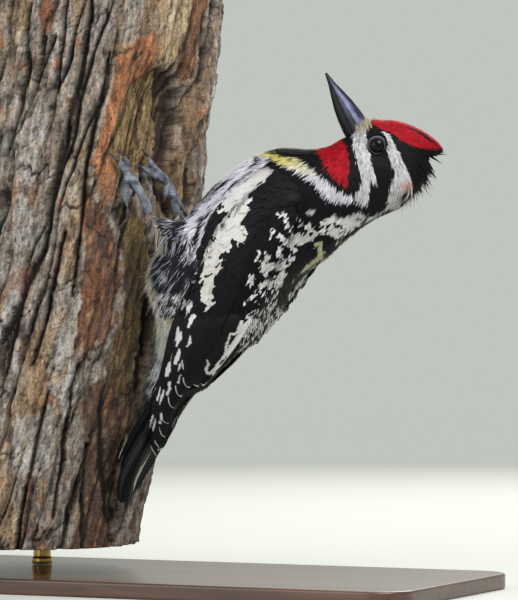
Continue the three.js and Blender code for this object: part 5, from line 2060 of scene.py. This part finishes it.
def build_base():
    shape = bmesh.new()
    bmesh.ops.create_cube(shape, size=1)
    bmesh.ops.scale(shape, vec=BASE_HIGH - BASE_LOW, verts=shape.verts)
    bmesh.ops.translate(shape, vec=(BASE_LOW + BASE_HIGH) / 2, verts=shape.verts)
    upright = [edge for edge in shape.edges if abs(edge.verts[0].co.z - edge.verts[1].co.z) > MM]
    bevel(shape, upright, CORNER, 14)
    bevel(shape, [edge for edge in shape.edges if edge.calc_face_angle(0) > 1.2], RIM, 4)
    mesh = mesh_from(shape, "base")
    mesh.shade_smooth()
    piece = new_object("stand_wood_base", mesh)
    normals = piece.modifiers.new("flat faces", "WEIGHTED_NORMAL")
    normals.keep_sharp = True
    return piece


def build_rod(side):
    low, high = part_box(f"stand_rod_{side}")
    radius = (high.x - low.x) / 2
    shape = bmesh.new()
    # shares of the rod's radius and of its height: a slimmer shank between two collars
    profile = [(0, 0), (1, 0), (1, 0.25), (0.86, 0.3), (0.86, 0.72), (1, 0.78), (1, 1), (0, 1)]
    height = high.z - low.z
    corners = [shape.verts.new((radius * out, 0, low.z + share * height)) for out, share in profile]
    edges = [shape.edges.new(pair) for pair in zip(corners[:-1], corners[1:])]
    spin_closed(shape, corners + edges, 48, 1e-7)
    bevel(shape, [edge for edge in shape.edges if edge.calc_face_angle(0) > 0.5], 0.3, 2)
    bmesh.ops.translate(shape, vec=((low.x + high.x) / 2, (low.y + high.y) / 2, 0), verts=shape.verts)
    mesh = mesh_from(shape, f"rod_{side}")
    mesh.shade_smooth()
    return new_object(f"stand_brass_rod_{side}", mesh)


# %% Wood and brass
def wood_material():
    """Dark varnished wood: stretched grain, which also gives a faint bump."""
    material = paint("dark_wood", 0.34, Coat_Weight=0.35, Coat_Roughness=0.12)
    place = add_node(material, "TexCoord", "Object")
    stretched = add_node(material, "Mapping", "Vector", Vector=place, Scale=(6, 60, 60))
    grain = add_node(material, "TexNoise", "Fac", Vector=stretched, Scale=1.6, Detail=8, Distortion=1.2)
    tone = add_ramp(material, grain, (44, 27, 20), (92, 60, 42), 0.3, 0.7)
    bump = add_node(material, "Bump", "Normal", Strength=0.12, Distance=0.0002, Height=grain)
    set_shader(material, Base_Color=tone, Normal=bump)
    return material


def brass_material():
    """Brass, a little uneven in its tone and its shine."""
    material = paint("brass", 0.28, Metallic=1.0)
    place = add_node(material, "TexCoord", "Object")
    cloud = add_node(material, "TexNoise", "Fac", Vector=place, Scale=400)
    tone = add_ramp(material, cloud, (176, 140, 76), (206, 172, 104))
    shine = add_node(material, "MapRange", "Result", Value=cloud, To_Min=0.2, To_Max=0.42)
    set_shader(material, Base_Color=tone, Roughness=shine)
    return material


finish_piece(build_base(), wood_material(), ["stand_base"])
BRASS = brass_material()
for side in ("left", "right"):
    finish_piece(build_rod(side), BRASS, [f"stand_rod_{side}"])
print("stand base and two rods")
